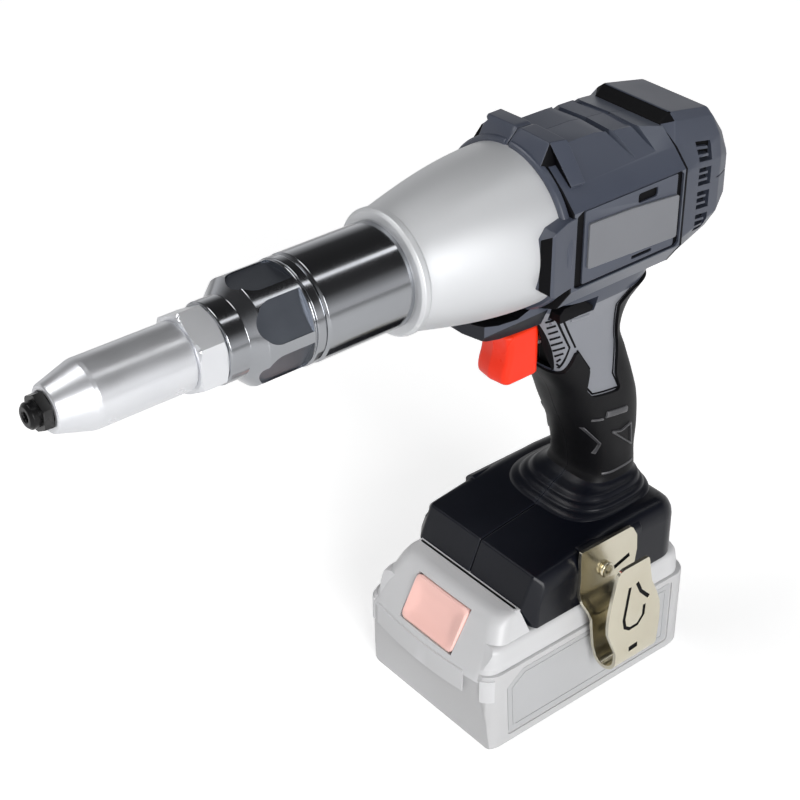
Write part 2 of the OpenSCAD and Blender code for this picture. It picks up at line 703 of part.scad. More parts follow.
module housing_outside() {
    prism_x(housing_front_x, rear_seam_x) housing_section();
    prism_x(collar_x, housing_front_x + collar_l)
        polygon(mirrored([for (p = collar_shares) p * housing_r]));
    for (side = [-1, 1])
        block(housing_front_x - lug_l, housing_front_x + overrun, side > 0 ? lug_in : -lug_out,
            side > 0 ? lug_out : -lug_in, axis_h - lug_bottom, axis_h + lug_top);
    chin();
    handle_loft(0);
    base_loft();
}

// Room for the pieces inside the housing
module housing_inside() {
    rod(housing_front_x - overrun, rear_seam_x + overrun, cavity_r);
    // Room for the gear housing in front of the motor
    turned([[case_front_x, 0], [case_front_x, gear_case_rim_r],
        [housing_front_x - gear_case_l * 0.5, gear_case_r * 0.95],
        [housing_front_x - gear_case_l * 0.25, gear_case_r + seat_gap],
            [housing_front_x, gear_case_r + seat_gap],
        [housing_front_x, 0]]);
    intersection() {
        handle_loft(-wall);
        block(-handle_depth, 2 * handle_depth, -handle_w, handle_w, base_in_top_z - wall, axis_h);
    }
    block(base_in_front_x, base_in_rear_x, -base_in_half_w, base_in_half_w, ceiling_z + ceiling_t,
        base_in_top_z);
    block(-2 * base_front, bay_rear_x, -base_in_half_w, base_in_half_w, skirt_z + lip_h, ceiling_z);
    block(-2 * base_front, bay_rear_x, -lip_half_w, lip_half_w, skirt_z - overrun, ceiling_z);
}

// Walls and bosses that stand inside the housing again
module housing_supports() {
    intersection() {
        handle_loft(-wall / 2);
        block(switch_x, switch_x + switch_l, -handle_w, handle_w, switch_bottom_z - shelf_t,
            switch_bottom_z);
    }
    intersection() {
        union() {
            handle_loft(-wall / 2);
            prism_x(housing_front_x, rear_seam_x) housing_section();
            base_loft();
            chin();
        }
        for (s = housing_screw_spots)
            cross_rod(s[0], s[1], -base_w / 2, base_w / 2, boss_screw_r);
    }
    for (s = cover_screw_spots) translate([0, s[0], s[1]])
        rod(rear_seam_x - cover_boss_l, rear_seam_x, boss_screw_r);
    for (side = [-1, 1])
        cross_rod(hook_screw_x, hook_screw_z, side > 0 ? base_w / 2 - insert_l - wall : -base_w / 2 + wall,
            side > 0 ? base_w / 2 - wall : -base_w / 2 + insert_l + wall, insert_boss_r);
}

// Room that the trigger runs in
module trigger_room()
    block(2 * trigger_front_x, switch_x, -trigger_w / 2 - run_gap, trigger_w / 2 + run_gap,
        trigger_top_z - trigger_h - run_gap, trigger_top_z + run_gap);

// Holes and pockets cut through both the walls and the bosses
module housing_cuts() {
    trigger_room();
    block(rear_seam_x, 2 * rear_x, -base_w, base_w, cover_low_z - seat_gap, 2 * axis_h);
    block(selector_front_x - run_gap, selector_front_x + selector_l + run_gap, -handle_w, handle_w,
        selector_z - run_gap, selector_z + selector_h + run_gap);
    for (side = [-1, 1])
        block(badge_front_x - seat_gap, badge_rear_x + seat_gap,
            side > 0 ? housing_r - badge_depth : -housing_r - overrun,
            side > 0 ? housing_r + overrun : -housing_r + badge_depth, badge_bottom_z - seat_gap,
                badge_top_z + seat_gap);
    for (s = housing_screw_spots) {
        cross_rod(s[0], s[1], screw_seat_y - screw_l, screw_seat_y + overrun, screw_shank_r + seat_gap);
        cross_rod(s[0], s[1], screw_seat_y, base_w, screw_head_r + seat_gap * 2);
    }
    for (s = cover_screw_spots)
        translate([0, s[0], s[1]])
            rod(cover_screw_seat_x - cover_screw_l, rear_seam_x + overrun, screw_shank_r + seat_gap);
    for (side = [-1, 1]) {
        cross_rod(hook_screw_x, hook_screw_z, side > 0 ? base_w / 2 - insert_l : -base_w,
            side > 0 ? base_w : -base_w / 2 + insert_l, insert_r + seat_gap);
        block(blade_x - run_gap, blade_x + blade_l + run_gap, side * blade_y - blade_t / 2 - run_gap,
            side * blade_y + blade_t / 2 + run_gap, ceiling_z - overrun, ceiling_z + ceiling_t + overrun);
    }
    work_light_body(seat_gap);
}

module housing_half(side)
    intersection() {
        difference() {
            union() {
                difference() {
                    housing_outside();
                    housing_inside();
                }
                housing_supports();
            }
            housing_cuts();
        }
        block(2 * case_front_x, 2 * rear_x, side > 0 ? 0 : -2 * base_w, side > 0 ? 2 * base_w : 0,
            -overrun, 2 * axis_h);
    }

module housing_left() color("darkslategray") housing_half(-1);

module housing_right() color("darkslategray") housing_half(1);

module grip_half(side)
    intersection() {
        difference() {
            handle_loft(grip_t);
            handle_loft(0);
            trigger_room();
        }
        prism_y(-base_w, base_w)
            polygon([for (s = grip_shares) [s[0] * handle_depth, handle_z(s[1])]]);
        block(-base_w, 2 * base_w, side > 0 ? 0 : -2 * base_w, side > 0 ? 2 * base_w : 0, 0, axis_h);
    }

module grip_left() color("black") grip_half(-1);

module grip_right() color("black") difference() {
    grip_half(1);
    for (s = housing_screw_spots)
        cross_rod(s[0], s[1], screw_seat_y, base_w, screw_head_r + seat_gap * 2);
}

module badge_plates()
    color("slategray") for (side = [-1, 1])
        block(badge_front_x, badge_rear_x, side > 0 ? housing_r - badge_depth : -housing_r - badge_proud,
            side > 0 ? housing_r + badge_proud : -housing_r + badge_depth, badge_bottom_z, badge_top_z);

module cover_slice(x0, x1, shares)
    prism_x(x0, x1) polygon(mirrored([for (p = shares) p * housing_r]));

module rear_cover()
    color("darkslategray") difference() {
        union() {
            difference() {
                hull() {
                    cover_slice(rear_seam_x, rear_seam_x + cover_flat_l, cover_seam_shares);
                    cover_slice(rear_seam_x + cover_mid_l, rear_seam_x + cover_mid_l + wall / 2,
                        cover_mid_shares);
                    cover_slice(rear_x - wall / 2, rear_x, cover_end_shares);
                }
                turned([[rear_seam_x - overrun, 0], [rear_seam_x - overrun, cover_in_r],
                    [rear_seam_x + cover_in_l, cover_in_r],
                        [rear_seam_x + cover_in_l + cover_cone_l, cover_cone_r],
                    [rear_seam_x + cover_in_l + cover_cone_l, 0]]);
            }
            rod(rear_bearing_x, rear_x - wall, boss_r);
        }
        rod(rear_bearing_x - overrun, rear_bearing_x + motor_bearing_l, bearing_r + seat_gap);
        rod(rear_bearing_x, shaft_rear_x + wall, shaft_r * 1.5);
        for (side = [-1, 1]) for (g = [0 : vent_groups - 1]) for (k = [0 : vent_slots - 1])
            block(vent_x, vent_x + vent_l, side > 0 ? housing_r * 0.45 : -2 * housing_r,
                side > 0 ? 2 * housing_r : -housing_r * 0.45,
                vent_low_z + g * vent_group_pitch + k * vent_pitch,
                    vent_low_z + g * vent_group_pitch + k * vent_pitch + vent_h);
        for (s = cover_screw_spots) translate([0, s[0], s[1]]) {
            rod(rear_seam_x - overrun, cover_screw_seat_x + overrun, screw_shank_r + seat_gap);
            rod(cover_screw_seat_x, rear_x + overrun, screw_head_r + seat_gap * 2);
        }
    }

module housing_screws()
    color("silver") for (s = housing_screw_spots) {
        cross_rod(s[0], s[1], screw_seat_y - screw_l + seat_gap, screw_seat_y + screw_head_l / 2,
            screw_shank_r);
        difference() {
            cross_rod(s[0], s[1], screw_seat_y, screw_seat_y + screw_head_l, screw_head_r);
            translate([s[0], screw_seat_y + screw_head_l + overrun, s[1]]) rotate([90, 0, 0])
                cylinder(h = screw_head_l / 2 + overrun, r = screw_head_r / 2, $fn = 6);
        }
    }

module cover_screws()
    color("silver") for (s = cover_screw_spots) translate([0, s[0], s[1]]) {
        rod(cover_screw_seat_x - cover_screw_l + seat_gap, cover_screw_seat_x + screw_head_l / 2,
            screw_shank_r);
        difference() {
            rod(cover_screw_seat_x, cover_screw_seat_x + screw_head_l, screw_head_r);
            hex_bar(cover_screw_seat_x + screw_head_l / 2, cover_screw_seat_x + screw_head_l + overrun,
                screw_head_r);
        }
    }

module work_light() color("white") work_light_body(0);

// Gear train

module ring_gear()
    color("gray") prism_x(ring_x, housing_front_x) difference() {
        circle(r = ring_r);
        rotate(180 / ring_teeth) gear_outline(ring_teeth, gear_module * ring_teeth / 2 + dedendum,
            gear_module * ring_teeth / 2 - addendum, -flank_slack);
    }

module carrier_pins(x0, x1)
    for (k = [0 : planets - 1])
        translate([0, centre_l * cos(360 * k / planets), centre_l * sin(360 * k / planets)])
            rod(x0, x1, pin_r);

module carrier_1()
    color("dimgray") {
        rod(carrier_1_x, carrier_1_x + plate_t, carrier_r);
        carrier_pins(carrier_1_x + plate_t / 2, housing_front_x);
        prism_x(planet_2_x, carrier_1_x + plate_t / 2) outside_gear(sun_teeth);
    }

module carrier_2()
    color("dimgray") {
        rod(carrier_2_x, carrier_2_x + plate_t, carrier_r);
        carrier_pins(carrier_2_x + plate_t / 2, planet_2_x + gear_w);
    }

module planet(x, k)
    color("silver") prism_x(x, x + gear_w)
        translate([centre_l * cos(360 * k / planets), centre_l * sin(360 * k / planets)])
            rotate(360 * k / planets + 180 / planet_teeth) difference() {
                outside_gear(planet_teeth);
                circle(r = pin_r + seat_gap * 2);
            }

module planet_1a() planet(planet_1_x, 0);

module planet_1b() planet(planet_1_x, 1);

module planet_1c() planet(planet_1_x, 2);

module planet_2a() planet(planet_2_x, 0);

module planet_2b() planet(planet_2_x, 1);

module planet_2c() planet(planet_2_x, 2);

// Nut, screw and jaws

module ball_nut()
    color("gray") difference() {
        turned([[nut_x, 0], [nut_x, nut_r], [nut_rear_x, nut_r], [nut_rear_x, hub_r],
            [carrier_2_x, hub_r], [carrier_2_x, 0]]);
        rod(nut_x - overrun, nut_rear_x + overrun, screw_r + thread_depth + run_gap);
        rod(nut_rear_x, carrier_2_x + overrun, hub_in_r);
    }

module thrust_bearing() color("silver")
    tube(thrust_x, thrust_x + thrust_l, barrel_bore_r - seat_gap, screw_hole_r);

module nut_bearing()
    color("silver") tube(nut_bearing_x, nut_bearing_x + bearing_l, barrel_bore_r - seat_gap,
        hub_r + seat_gap * 2);

module ball_screw()
    color("silver") translate([screw_front_x, 0, axis_h]) rotate([0, 90, 0])
        linear_extrude(screw_rear_x - screw_front_x,
            twist = -360 * (screw_rear_x - screw_front_x) / screw_lead,
            slices = round(8 * (screw_rear_x - screw_front_x) / screw_lead), segments = 12)
            translate([thread_depth, 0]) circle(r = screw_r, $fn = 12);

module draw_rod()
    color("dimgray") difference() {
        union() {
            rod(rod_front_x, rod_front_x + rod_head_l, jaw_bore_r - seat_gap);
            hex_bar(rod_front_x + rod_head_l / 2, screw_front_x, hex_af);
        }
        rod(rod_front_x - overrun, rod_front_x + rod_head_l, mandrel_r * 1.3);
    }

module jaw_case()
    color("dimgray") difference() {
        rod(jaw_case_x, jaw_case_x + jaw_case_l, jaw_case_r);
        turned([[jaw_case_x - overrun, 0], [jaw_case_x - overrun, jaw_mouth_r], [jaw_cone_x, jaw_mouth_r],
            [jaw_cone_x + jaw_cone_l, jaw_bore_r], [jaw_case_x + jaw_case_l + overrun, jaw_bore_r],
            [jaw_case_x + jaw_case_l + overrun, 0]]);
    }

module jaw(k) {
    front_r = jaw_mouth_r + (jaw_x - jaw_cone_x) * tan(jaw_angle) - jaw_slack;
    rear_r = front_r + jaw_l * tan(jaw_angle);
    color("dimgray") intersection() {
        turned([[jaw_x, jaw_hole_r], [jaw_x, front_r], [jaw_x + jaw_l, rear_r],
            [jaw_x + jaw_l, jaw_hole_r]]);
        translate([0, 0, axis_h]) rotate([120 * k, 0, 0]) translate([0, 0, -axis_h])
            prism_x(jaw_x - overrun, jaw_x + jaw_l + overrun)
            polygon([[0, 2 * jaw_split], [jaw_case_r * sqrt(3), jaw_case_r + 2 * jaw_split],
                [-jaw_case_r * sqrt(3), jaw_case_r + 2 * jaw_split]]);
    }
}

module jaw_1() jaw(0);

module jaw_2() jaw(1);

module jaw_3() jaw(2);

module jaw_pusher() color("goldenrod") tube(pusher_x, pusher_x + pusher_l, pusher_r, mandrel_r * 1.3);

module jaw_spring()
    color("silver") translate([pusher_x + pusher_l, 0, axis_h])
        coil(jaw_spring_l, pusher_r * 0.8, spring_wire_r, 3);

// Motor

module motor_plate()
    color("gray") tube(motor_plate_x, motor_plate_x + motor_plate_t, ring_r, bearing_r + seat_gap);

module motor_bearings()
    color("silver") {
        tube(motor_plate_x, motor_plate_x + motor_bearing_l, bearing_r, shaft_r + seat_gap * 2);
        tube(rear_bearing_x, rear_bearing_x + motor_bearing_l, bearing_r, shaft_r + seat_gap * 2);
    }

module stator_tooth(x0, x1, half_w, r0, r1, k)
    translate([0, 0, axis_h]) rotate([360 * k / stator_teeth, 0, 0]) block(x0, x1, -half_w, half_w, r0, r1);

module stator()
    color("dimgray") difference() {
        union() {
            tube(stator_x, stator_x + stator_l, stator_r, yoke_r);
            for (k = [0 : stator_teeth - 1])
                stator_tooth(stator_x, stator_x + stator_l, tooth_half_w, rotor_r, yoke_r + overrun, k);
        }
        rod(stator_x - overrun, stator_x + stator_l + overrun, rotor_r + air_gap);
    }

module stator_windings()
    color("chocolate") for (k = [0 : stator_teeth - 1])
        difference() {
            stator_tooth(stator_x - coil_over_l, stator_x + stator_l + coil_over_l, coil_half_w, coil_in_r,
                sqrt(pow(coil_out_r, 2) - pow(coil_half_w, 2)), k);
            stator_tooth(stator_x - seat_gap, stator_x + stator_l + seat_gap, tooth_half_w + seat_gap,
                rotor_r, stator_r, k);
        }

module motor_shaft()
    color("silver") {
        rod(planet_1_x, shaft_rear_x, shaft_r);
        prism_x(planet_1_x, pinion_end_x) outside_gear(sun_teeth);
    }

module rotor_core()
    color("gray") tube(stator_x, stator_x + stator_l, rotor_r, shaft_r);

module cooling_fan()
    color("black") difference() {
        union() {
            rod(fan_x, fan_x + fan_l, fan_hub_r);
            rod(fan_x, fan_x + fan_disc_t, fan_r);
            for (k = [0 : fan_blades - 1])
                translate([0, 0, axis_h]) rotate([360 * k / fan_blades, 0, 0])
                    block(fan_x + fan_disc_t / 2, fan_x + fan_l, -fan_blade_t / 2, fan_blade_t / 2,
                        fan_hub_r * 0.9, fan_r * 0.98);
        }
        rod(fan_x - overrun, fan_x + fan_l + overrun, shaft_r);
    }

// Trigger, switch and selector

module trigger()
    color("orangered") {
        prism_y(-trigger_w / 2, trigger_w / 2)
            polygon([for (s = trigger_shares) [trigger_front_x + s[0] * trigger_l,
                trigger_top_z - trigger_h * (1 - s[1])]]);
        translate([trigger_rear_x - overrun, 0, plunger_z]) rotate([0, 90, 0])
            cylinder(h = plunger_l + overrun, r = plunger_r);
    }

module trigger_spring()
    color("silver") translate([trigger_rear_x, 0, plunger_z])
        coil(switch_x - trigger_rear_x, plunger_r * 1.5, spring_wire_r, 4);

module switch_body()
    color("black") difference() {
        block(switch_x, switch_x + switch_l, -switch_half_w, switch_half_w, switch_bottom_z, switch_top_z);
        translate([switch_x - overrun, 0, plunger_z]) rotate([0, 90, 0])
            cylinder(h = switch_bore_l + overrun, r = plunger_r + run_gap);
    }

module selector()
    color("black")
        block(selector_front_x, selector_front_x + selector_l, -selector_half_w, selector_half_w,
            selector_z, selector_z + selector_h);

// Boards and terminals in the base

module control_tray()
    color("darkgreen") {
        difference() {
            block(tray_front_x, tray_rear_x, -terminal_half_w, terminal_half_w, ceiling_z + ceiling_t,
                ceiling_z + ceiling_t + tray_h);
            block(tray_front_x + wall / 2, tray_rear_x - wall / 2, -terminal_half_w + wall / 2,
                terminal_half_w - wall / 2,
                ceiling_z + ceiling_t + wall, ceiling_z + ceiling_t + tray_h + overrun);
        }
        block(tray_front_x + wall / 4, tray_rear_x - wall / 4, -terminal_half_w + wall / 4,
            terminal_half_w - wall / 4,
            ceiling_z + ceiling_t + tray_h * 0.6, ceiling_z + ceiling_t + tray_h * 0.75);
    }

module terminal_block()
    color("black") {
        block(terminal_x, terminal_x + terminal_l, -terminal_half_w, terminal_half_w,
            ceiling_z + ceiling_t, ceiling_z + ceiling_t + terminal_h);
        for (side = [-1, 1])
            block(blade_x, blade_x + blade_l, side * blade_y - blade_t / 2, side * blade_y + blade_t / 2,
                ceiling_z - blade_drop, ceiling_z + ceiling_t + terminal_h / 2);
    }

// Belt hook

module hook_profile() {
    bend_y = hook_strip_y - hook_gap / 2 - hook_t;
    out_r = hook_gap / 2 + hook_t;
    in_r = hook_gap / 2;
    polygon(concat([[hook_face_y, hook_top_z], [hook_face_y, hook_jog_z],
        [hook_strip_y, hook_jog_z - hook_jog_h]],
        [for (k = [0 : 2 * corner_steps])
            let (a = -180 * k / (2 * corner_steps)) [bend_y + out_r * cos(a),
            hook_bend_z + out_r * sin(a)]],
        [[bend_y - out_r, hook_end_z], [bend_y - in_r, hook_end_z]],
        [for (k = [2 * corner_steps : -1 : 0])
            let (a = -180 * k / (2 * corner_steps)) [bend_y + in_r * cos(a), hook_bend_z + in_r * sin(a)]],
        [[hook_strip_y - hook_t, hook_jog_z - hook_jog_h + hook_t / 4],
            [hook_face_y - hook_t, hook_jog_z + hook_t / 4],
            [hook_face_y - hook_t, hook_top_z]]));
}

module belt_hook() {
    out_y = hook_strip_y - hook_gap - 2 * hook_t;
    tongue_top_z = hook_end_z - tongue_half_w;
    tongue_x = hook_front_x + hook_w * 0.47;
    color("tan") difference() {
        union() {
            translate([0, 0, -axis_h]) prism_x(hook_front_x, hook_front_x + hook_w) hook_profile();
            block(hook_plate_front_x, hook_plate_front_x + hook_plate_w, hook_face_y - hook_t,
                hook_face_y, hook_jog_z, hook_top_z);
        }
        // Slot beside the screw and the hole for the screw
        block(hook_screw_x, hook_screw_x + hook_slot_l * 0.7, hook_face_y - 2 * hook_t,
            hook_face_y + overrun,
            hook_screw_z + hook_head_r * 0.4, hook_screw_z + hook_head_r * 0.4 + hook_slot_h);
        cross_rod(hook_screw_x, hook_screw_z, hook_face_y - 2 * hook_t, hook_face_y + overrun,
            hook_screw_r + seat_gap * 2);
        // Bevels on the free end
        for (side = [0, 1])
            translate([hook_front_x + side * hook_w, 0, hook_end_z]) rotate([0, 45, 0])
                block(-hook_t * 1.6, hook_t * 1.6, out_y - overrun, out_y + hook_t + overrun,
                    -hook_t * 1.6, hook_t * 1.6);
        // Spring tongue, cut free on three sides
        for (side = [-1, 1])
            block(tongue_x + side * tongue_half_w - tongue_cut / 2,
                tongue_x + side * tongue_half_w + tongue_cut / 2,
                out_y - overrun, out_y + hook_t + overrun, tongue_top_z - tongue_l, tongue_top_z);
        block(tongue_x - tongue_half_w, tongue_x + tongue_half_w, out_y - overrun, out_y + hook_t + overrun,
            tongue_top_z - tongue_l, tongue_top_z - tongue_l + tongue_cut);
    }
}

module hook_screw()
    color("silver") {
        cross_rod(hook_screw_x, hook_screw_z, hook_face_y - hook_t - hook_head_l / 2,
            hook_face_y + insert_l * 0.8, hook_screw_r);
        difference() {
            cross_rod(hook_screw_x, hook_screw_z, hook_face_y - hook_t - hook_head_l,
                hook_face_y - hook_t, hook_head_r);
            translate([hook_screw_x, hook_face_y - hook_t - hook_head_l / 2, hook_screw_z])
                rotate([90, 0, 0])
                cylinder(h = hook_head_l, r = hook_head_r / 2, $fn = 6);
        }
    }

module hook_inserts()
    color("gold") for (side = [-1, 1])
        difference() {
            cross_rod(hook_screw_x, hook_screw_z, side > 0 ? base_w / 2 - insert_l : -base_w / 2,
                side > 0 ? base_w / 2 : -base_w / 2 + insert_l, insert_r);
            cross_rod(hook_screw_x, hook_screw_z,
                side > 0 ? base_w / 2 - insert_l - overrun : -base_w / 2 - overrun,
                side > 0 ? base_w / 2 + overrun : -base_w / 2 + insert_l + overrun,
                    hook_screw_r + seat_gap);
        }

// Battery

module battery_outline(inset)
    rounded_rect(battery_front_x - battery_bulge + inset, battery_rear_x - inset, -battery_half_w + inset,
        battery_half_w - inset, battery_corner - inset);

module battery_lower()
    color("gainsboro") difference() {
        intersection() {
            linear_extrude(lower_case_h) battery_outline(0);
            prism_y(-battery_w, battery_w)
                polygon([[battery_front_x + battery_bulge, 0],
                    [battery_front_x - battery_bulge, lower_case_h * 0.85],
                    [battery_front_x - battery_bulge, 2 * lower_case_h],
                        [2 * battery_rear_x, 2 * lower_case_h], [2 * battery_rear_x, 0]]);
        }
        intersection() {
            translate([0, 0, case_wall]) linear_extrude(lower_case_h) battery_outline(case_wall);
            block(battery_front_x + battery_bulge + case_wall, battery_rear_x, -battery_w, battery_w, 0,
                2 * lower_case_h);
        }
        for (side = [-1, 1])
            block(label_front_x, label_rear_x,
                side > 0 ? battery_half_w - label_depth : -battery_half_w - overrun,
                side > 0 ? battery_half_w + overrun : -battery_half_w + label_depth, label_low_z,
                    label_high_z);
        button_pocket();
        for (sx = [-1, 1]) for (sy = [-1, 1])
            translate([sx * battery_l * 0.44, sy * battery_w * 0.4, -overrun])
                cylinder(h = case_wall + 2 * overrun, r = screw_shank_r + seat_gap);
    }

// Outside of the battery's upper case, with its rails
module battery_upper_outside()
    intersection() {
        union() {
            translate([0, 0, lower_case_h]) linear_extrude(shoulder_z - lower_case_h)
                battery_outline(battery_half_w - shoulder_half_w);
            block(hump_rear_x - overrun, head_rear_x, -neck_half_w, neck_half_w, lower_case_h, head_top_z);
            block(hump_rear_x - overrun, head_rear_x, -head_half_w, head_half_w, head_bottom_z, head_top_z);
            block(battery_front_x - battery_l, hump_rear_x, -hump_half_w, hump_half_w, lower_case_h,
                head_top_z);
        }
        prism_y(-battery_w, battery_w)
            polygon([[battery_front_x - battery_bulge, hump_low_z], [hump_top_x, head_top_z],
                [hump_top_x + hump_run / hump_rise * overrun, head_top_z + overrun],
                [battery_rear_x, head_top_z + overrun], [battery_rear_x, hump_low_z]]);
    }

// Places the button's own frame on the slope of the hump: first axis up the slope, third axis outward
module on_slope()
    translate([battery_front_x - battery_bulge + hump_run / 2, 0, hump_low_z + hump_rise / 2])
        rotate([0, -hump_angle, 0]) children();

// Room for the button and its travel
module button_pocket()
    on_slope() block(-button_l / 2 - run_gap, button_l / 2 + run_gap, -button_half_w - run_gap,
        button_half_w + run_gap,
        -button_t - button_press - run_gap, overrun * 4);

module battery_upper()
    color("gainsboro") difference() {
        battery_upper_outside();
        // Hollow under the rails
        block(head_front_x + case_wall, head_rear_x - case_wall, -neck_half_w + case_wall,
            neck_half_w - case_wall,
            lower_case_h - overrun, head_top_z - case_wall);
        button_pocket();
        // Slots for the tool's blades, open at the rear
        for (side = [-1, 1])
            block(blade_x - run_gap * 2, battery_rear_x, side * blade_y - slot_half_w,
                side * blade_y + slot_half_w,
                ceiling_z - blade_drop - run_gap * 2, head_top_z + overrun);
    }

module battery_button()
    color("lightsalmon") on_slope()
        block(-button_l / 2, button_l / 2, -button_half_w, button_half_w, button_proud - button_t,
            button_proud);

module button_spring()
    color("silver") on_slope() translate([0, 0, button_proud - button_t]) rotate([0, 90, 0])
        coil(button_press + button_proud + run_gap, button_t * 0.6, spring_wire_r, 2);

module battery_cells()
    color("teal") for (i = [0 : cells_long - 1]) for (j = [0 : cells_high - 1])
        cross_rod((i - (cells_long - 1) / 2) * cell_pitch,
            case_wall + run_gap + (j + 0.5) * cell_pitch - run_gap,
            -cell_l / 2, cell_l / 2, cell_d / 2);

module battery_board()
    color("green") block(head_front_x + case_wall * 2, head_rear_x - case_wall * 2,
        -neck_half_w + case_wall * 2, neck_half_w - case_wall * 2,
        board_z, board_z + board_t);

module battery_screws()
    color("silver") for (sx = [-1, 1]) for (sy = [-1, 1])
        translate([sx * battery_l * 0.44, sy * battery_w * 0.4, case_wall * 0.3])
            cylinder(h = lower_case_h * 0.5, r = screw_shank_r);

nosepiece();
nose_sleeve();
lock_nut();
coupling();
barrel();
gear_case();
housing_left();
housing_right();
rear_cover();
grip_left();
grip_right();
badge_plates();
housing_screws();
cover_screws();
ring_gear();
motor_plate();
motor_bearings();
nut_bearing();
thrust_bearing();
stator();
stator_windings();
motor_shaft();
rotor_core();
cooling_fan();
carrier_1();
planet_1a();
planet_1b();
planet_1c();
carrier_2();
planet_2a();
planet_2b();
planet_2c();
ball_nut();
ball_screw();
draw_rod();
guide_bush();
jaw_case();
jaw_1();
jaw_2();
jaw_3();
jaw_pusher();
jaw_spring();
trigger();
trigger_spring();
switch_body();
selector();
work_light();
control_tray();
terminal_block();
belt_hook();
hook_screw();
hook_inserts();
battery_lower();
battery_upper();
battery_cells();
battery_board();
battery_button();
button_spring();
battery_screws();
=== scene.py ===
"""Looks of a battery rivet tool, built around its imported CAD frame.

Shapes are drawn in millimetres in the part's own frame: the nose points to -X, the tool's left side
faces -Y and +Z is up. Each piece becomes metres when it is placed.
"""

import json
import logging
import math
from dataclasses import dataclass
from enum import Enum
from typing import Callable, Iterable, Optional, Sequence

import bmesh
import bpy
from mathutils import Matrix, Vector


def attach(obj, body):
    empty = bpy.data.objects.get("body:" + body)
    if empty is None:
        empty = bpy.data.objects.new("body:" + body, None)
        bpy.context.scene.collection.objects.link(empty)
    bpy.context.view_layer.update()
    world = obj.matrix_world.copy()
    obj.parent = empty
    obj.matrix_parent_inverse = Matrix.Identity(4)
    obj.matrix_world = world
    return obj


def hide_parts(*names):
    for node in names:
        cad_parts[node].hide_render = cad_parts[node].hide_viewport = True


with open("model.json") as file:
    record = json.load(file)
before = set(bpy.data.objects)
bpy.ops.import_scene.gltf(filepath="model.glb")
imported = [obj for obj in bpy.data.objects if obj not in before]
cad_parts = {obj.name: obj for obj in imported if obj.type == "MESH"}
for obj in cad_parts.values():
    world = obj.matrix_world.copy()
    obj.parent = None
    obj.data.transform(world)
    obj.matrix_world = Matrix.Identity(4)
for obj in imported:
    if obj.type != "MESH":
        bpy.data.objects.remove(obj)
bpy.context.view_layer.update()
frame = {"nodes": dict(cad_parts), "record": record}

# A millimetre in metres
MM = 0.001
# Height of the tool's axis
AXIS_Z = 218.0
# Half the gap between the left and right halves
SEAM = 0.12
# Points nearer than this are one point, and gaps narrower than a pinhole are closed
WELD = 0.002
PINHOLE = 0.012
LOG = logging.getLogger("rivet_tool")

Point2 = tuple[float, float]
Point3 = tuple[float, float, float]
Point4 = tuple[float, float, float, float]
Outline = Sequence[Point2]
Object = bpy.types.Object
Node = bpy.types.Node
Tree = bpy.types.NodeTree


class Axis(Enum):
    """Direction in which an outline is drawn out."""

    X = 0
    Y = 1
    Z = 2


class Marks(Enum):
    """What a tool or a mould leaves on a surface."""

    GRAIN = "grain"
    LATHE = "lathe"
    BRUSH = "brush"


# Mesh tools


def linked(name: str, data: bpy.types.ID) -> Object:
    """Adds an object with some data to the scene."""
    obj = bpy.data.objects.new(name, data)
    bpy.context.scene.collection.objects.link(obj)
    return obj


def new_object(name: str, points: Iterable[Sequence[float]],
               faces: Iterable[Sequence[int]]) -> Object:
    """Makes a mesh object with outward faces from points in millimetres.

    Args:
        name: Name of the object.
        points: Corner points.
        faces: Corner numbers of each face.

    Returns:
        The new object.
    """
    mesh = bpy.data.meshes.new(name)
    mesh.from_pydata([tuple(p) for p in points], [], [tuple(f) for f in faces])
    obj = linked(name, mesh)
    edit(obj, lambda bm: bmesh.ops.recalc_face_normals(bm, faces=bm.faces))
    return obj


def edit(obj: Object, change: Callable[[bmesh.types.BMesh], object]) -> Object:
    """Runs a change on an object's mesh and returns the object."""
    bm = bmesh.new()
    bm.from_mesh(obj.data)
    change(bm)
    bm.to_mesh(obj.data)
    bm.free()
    return obj


def bake(obj: Object) -> Object:
    """Turns an object's modifiers into plain mesh and returns the object."""
    graph = bpy.context.evaluated_depsgraph_get()
    mesh = bpy.data.meshes.new_from_object(obj.evaluated_get(graph))
    obj.modifiers.clear()
    old = obj.data
    obj.data = mesh
    bpy.data.meshes.remove(old)
    return obj


def join(name: str, parts: Sequence[Object]) -> Object:
    """Joins objects into one mesh.

    Args:
        name: Name of the result.
        parts: Objects that are used up.

    Returns:
        The joined object.
    """
    bm = bmesh.new()
    for part in parts:
        bm.from_mesh(part.data)
        discard(part)
    mesh = bpy.data.meshes.new(name)
    bm.to_mesh(mesh)
    bm.free()
    return linked(name, mesh)


def discard(obj: Object) -> None:
    """Removes an object and its mesh."""
    mesh = obj.data
    bpy.data.objects.remove(obj)
    bpy.data.meshes.remove(mesh)


def mirrored(obj: Object, name: str) -> Object:
    """Copies an object to the other side of the tool's middle plane."""
    mesh = obj.data.copy()
    mesh.transform(Matrix.Diagonal((1, -1, 1, 1)))
    mesh.flip_normals()
    return linked(name, mesh)


def boolean(obj: Object, others: Sequence[Object], operation: str = "DIFFERENCE") -> Object:
    """Cuts an object with others, or keeps what they share.

    Args:
        obj: Object that is changed.
        others: Tools that are used up.
        operation: Blender's name of the operation.

    Returns:
        The changed object.
    """
    for other in others:
        mod = obj.modifiers.new("cut", "BOOLEAN")
        mod.operation = operation
        mod.solver = "EXACT"
        mod.object = other
        bake(obj)
        discard(other)
    return obj


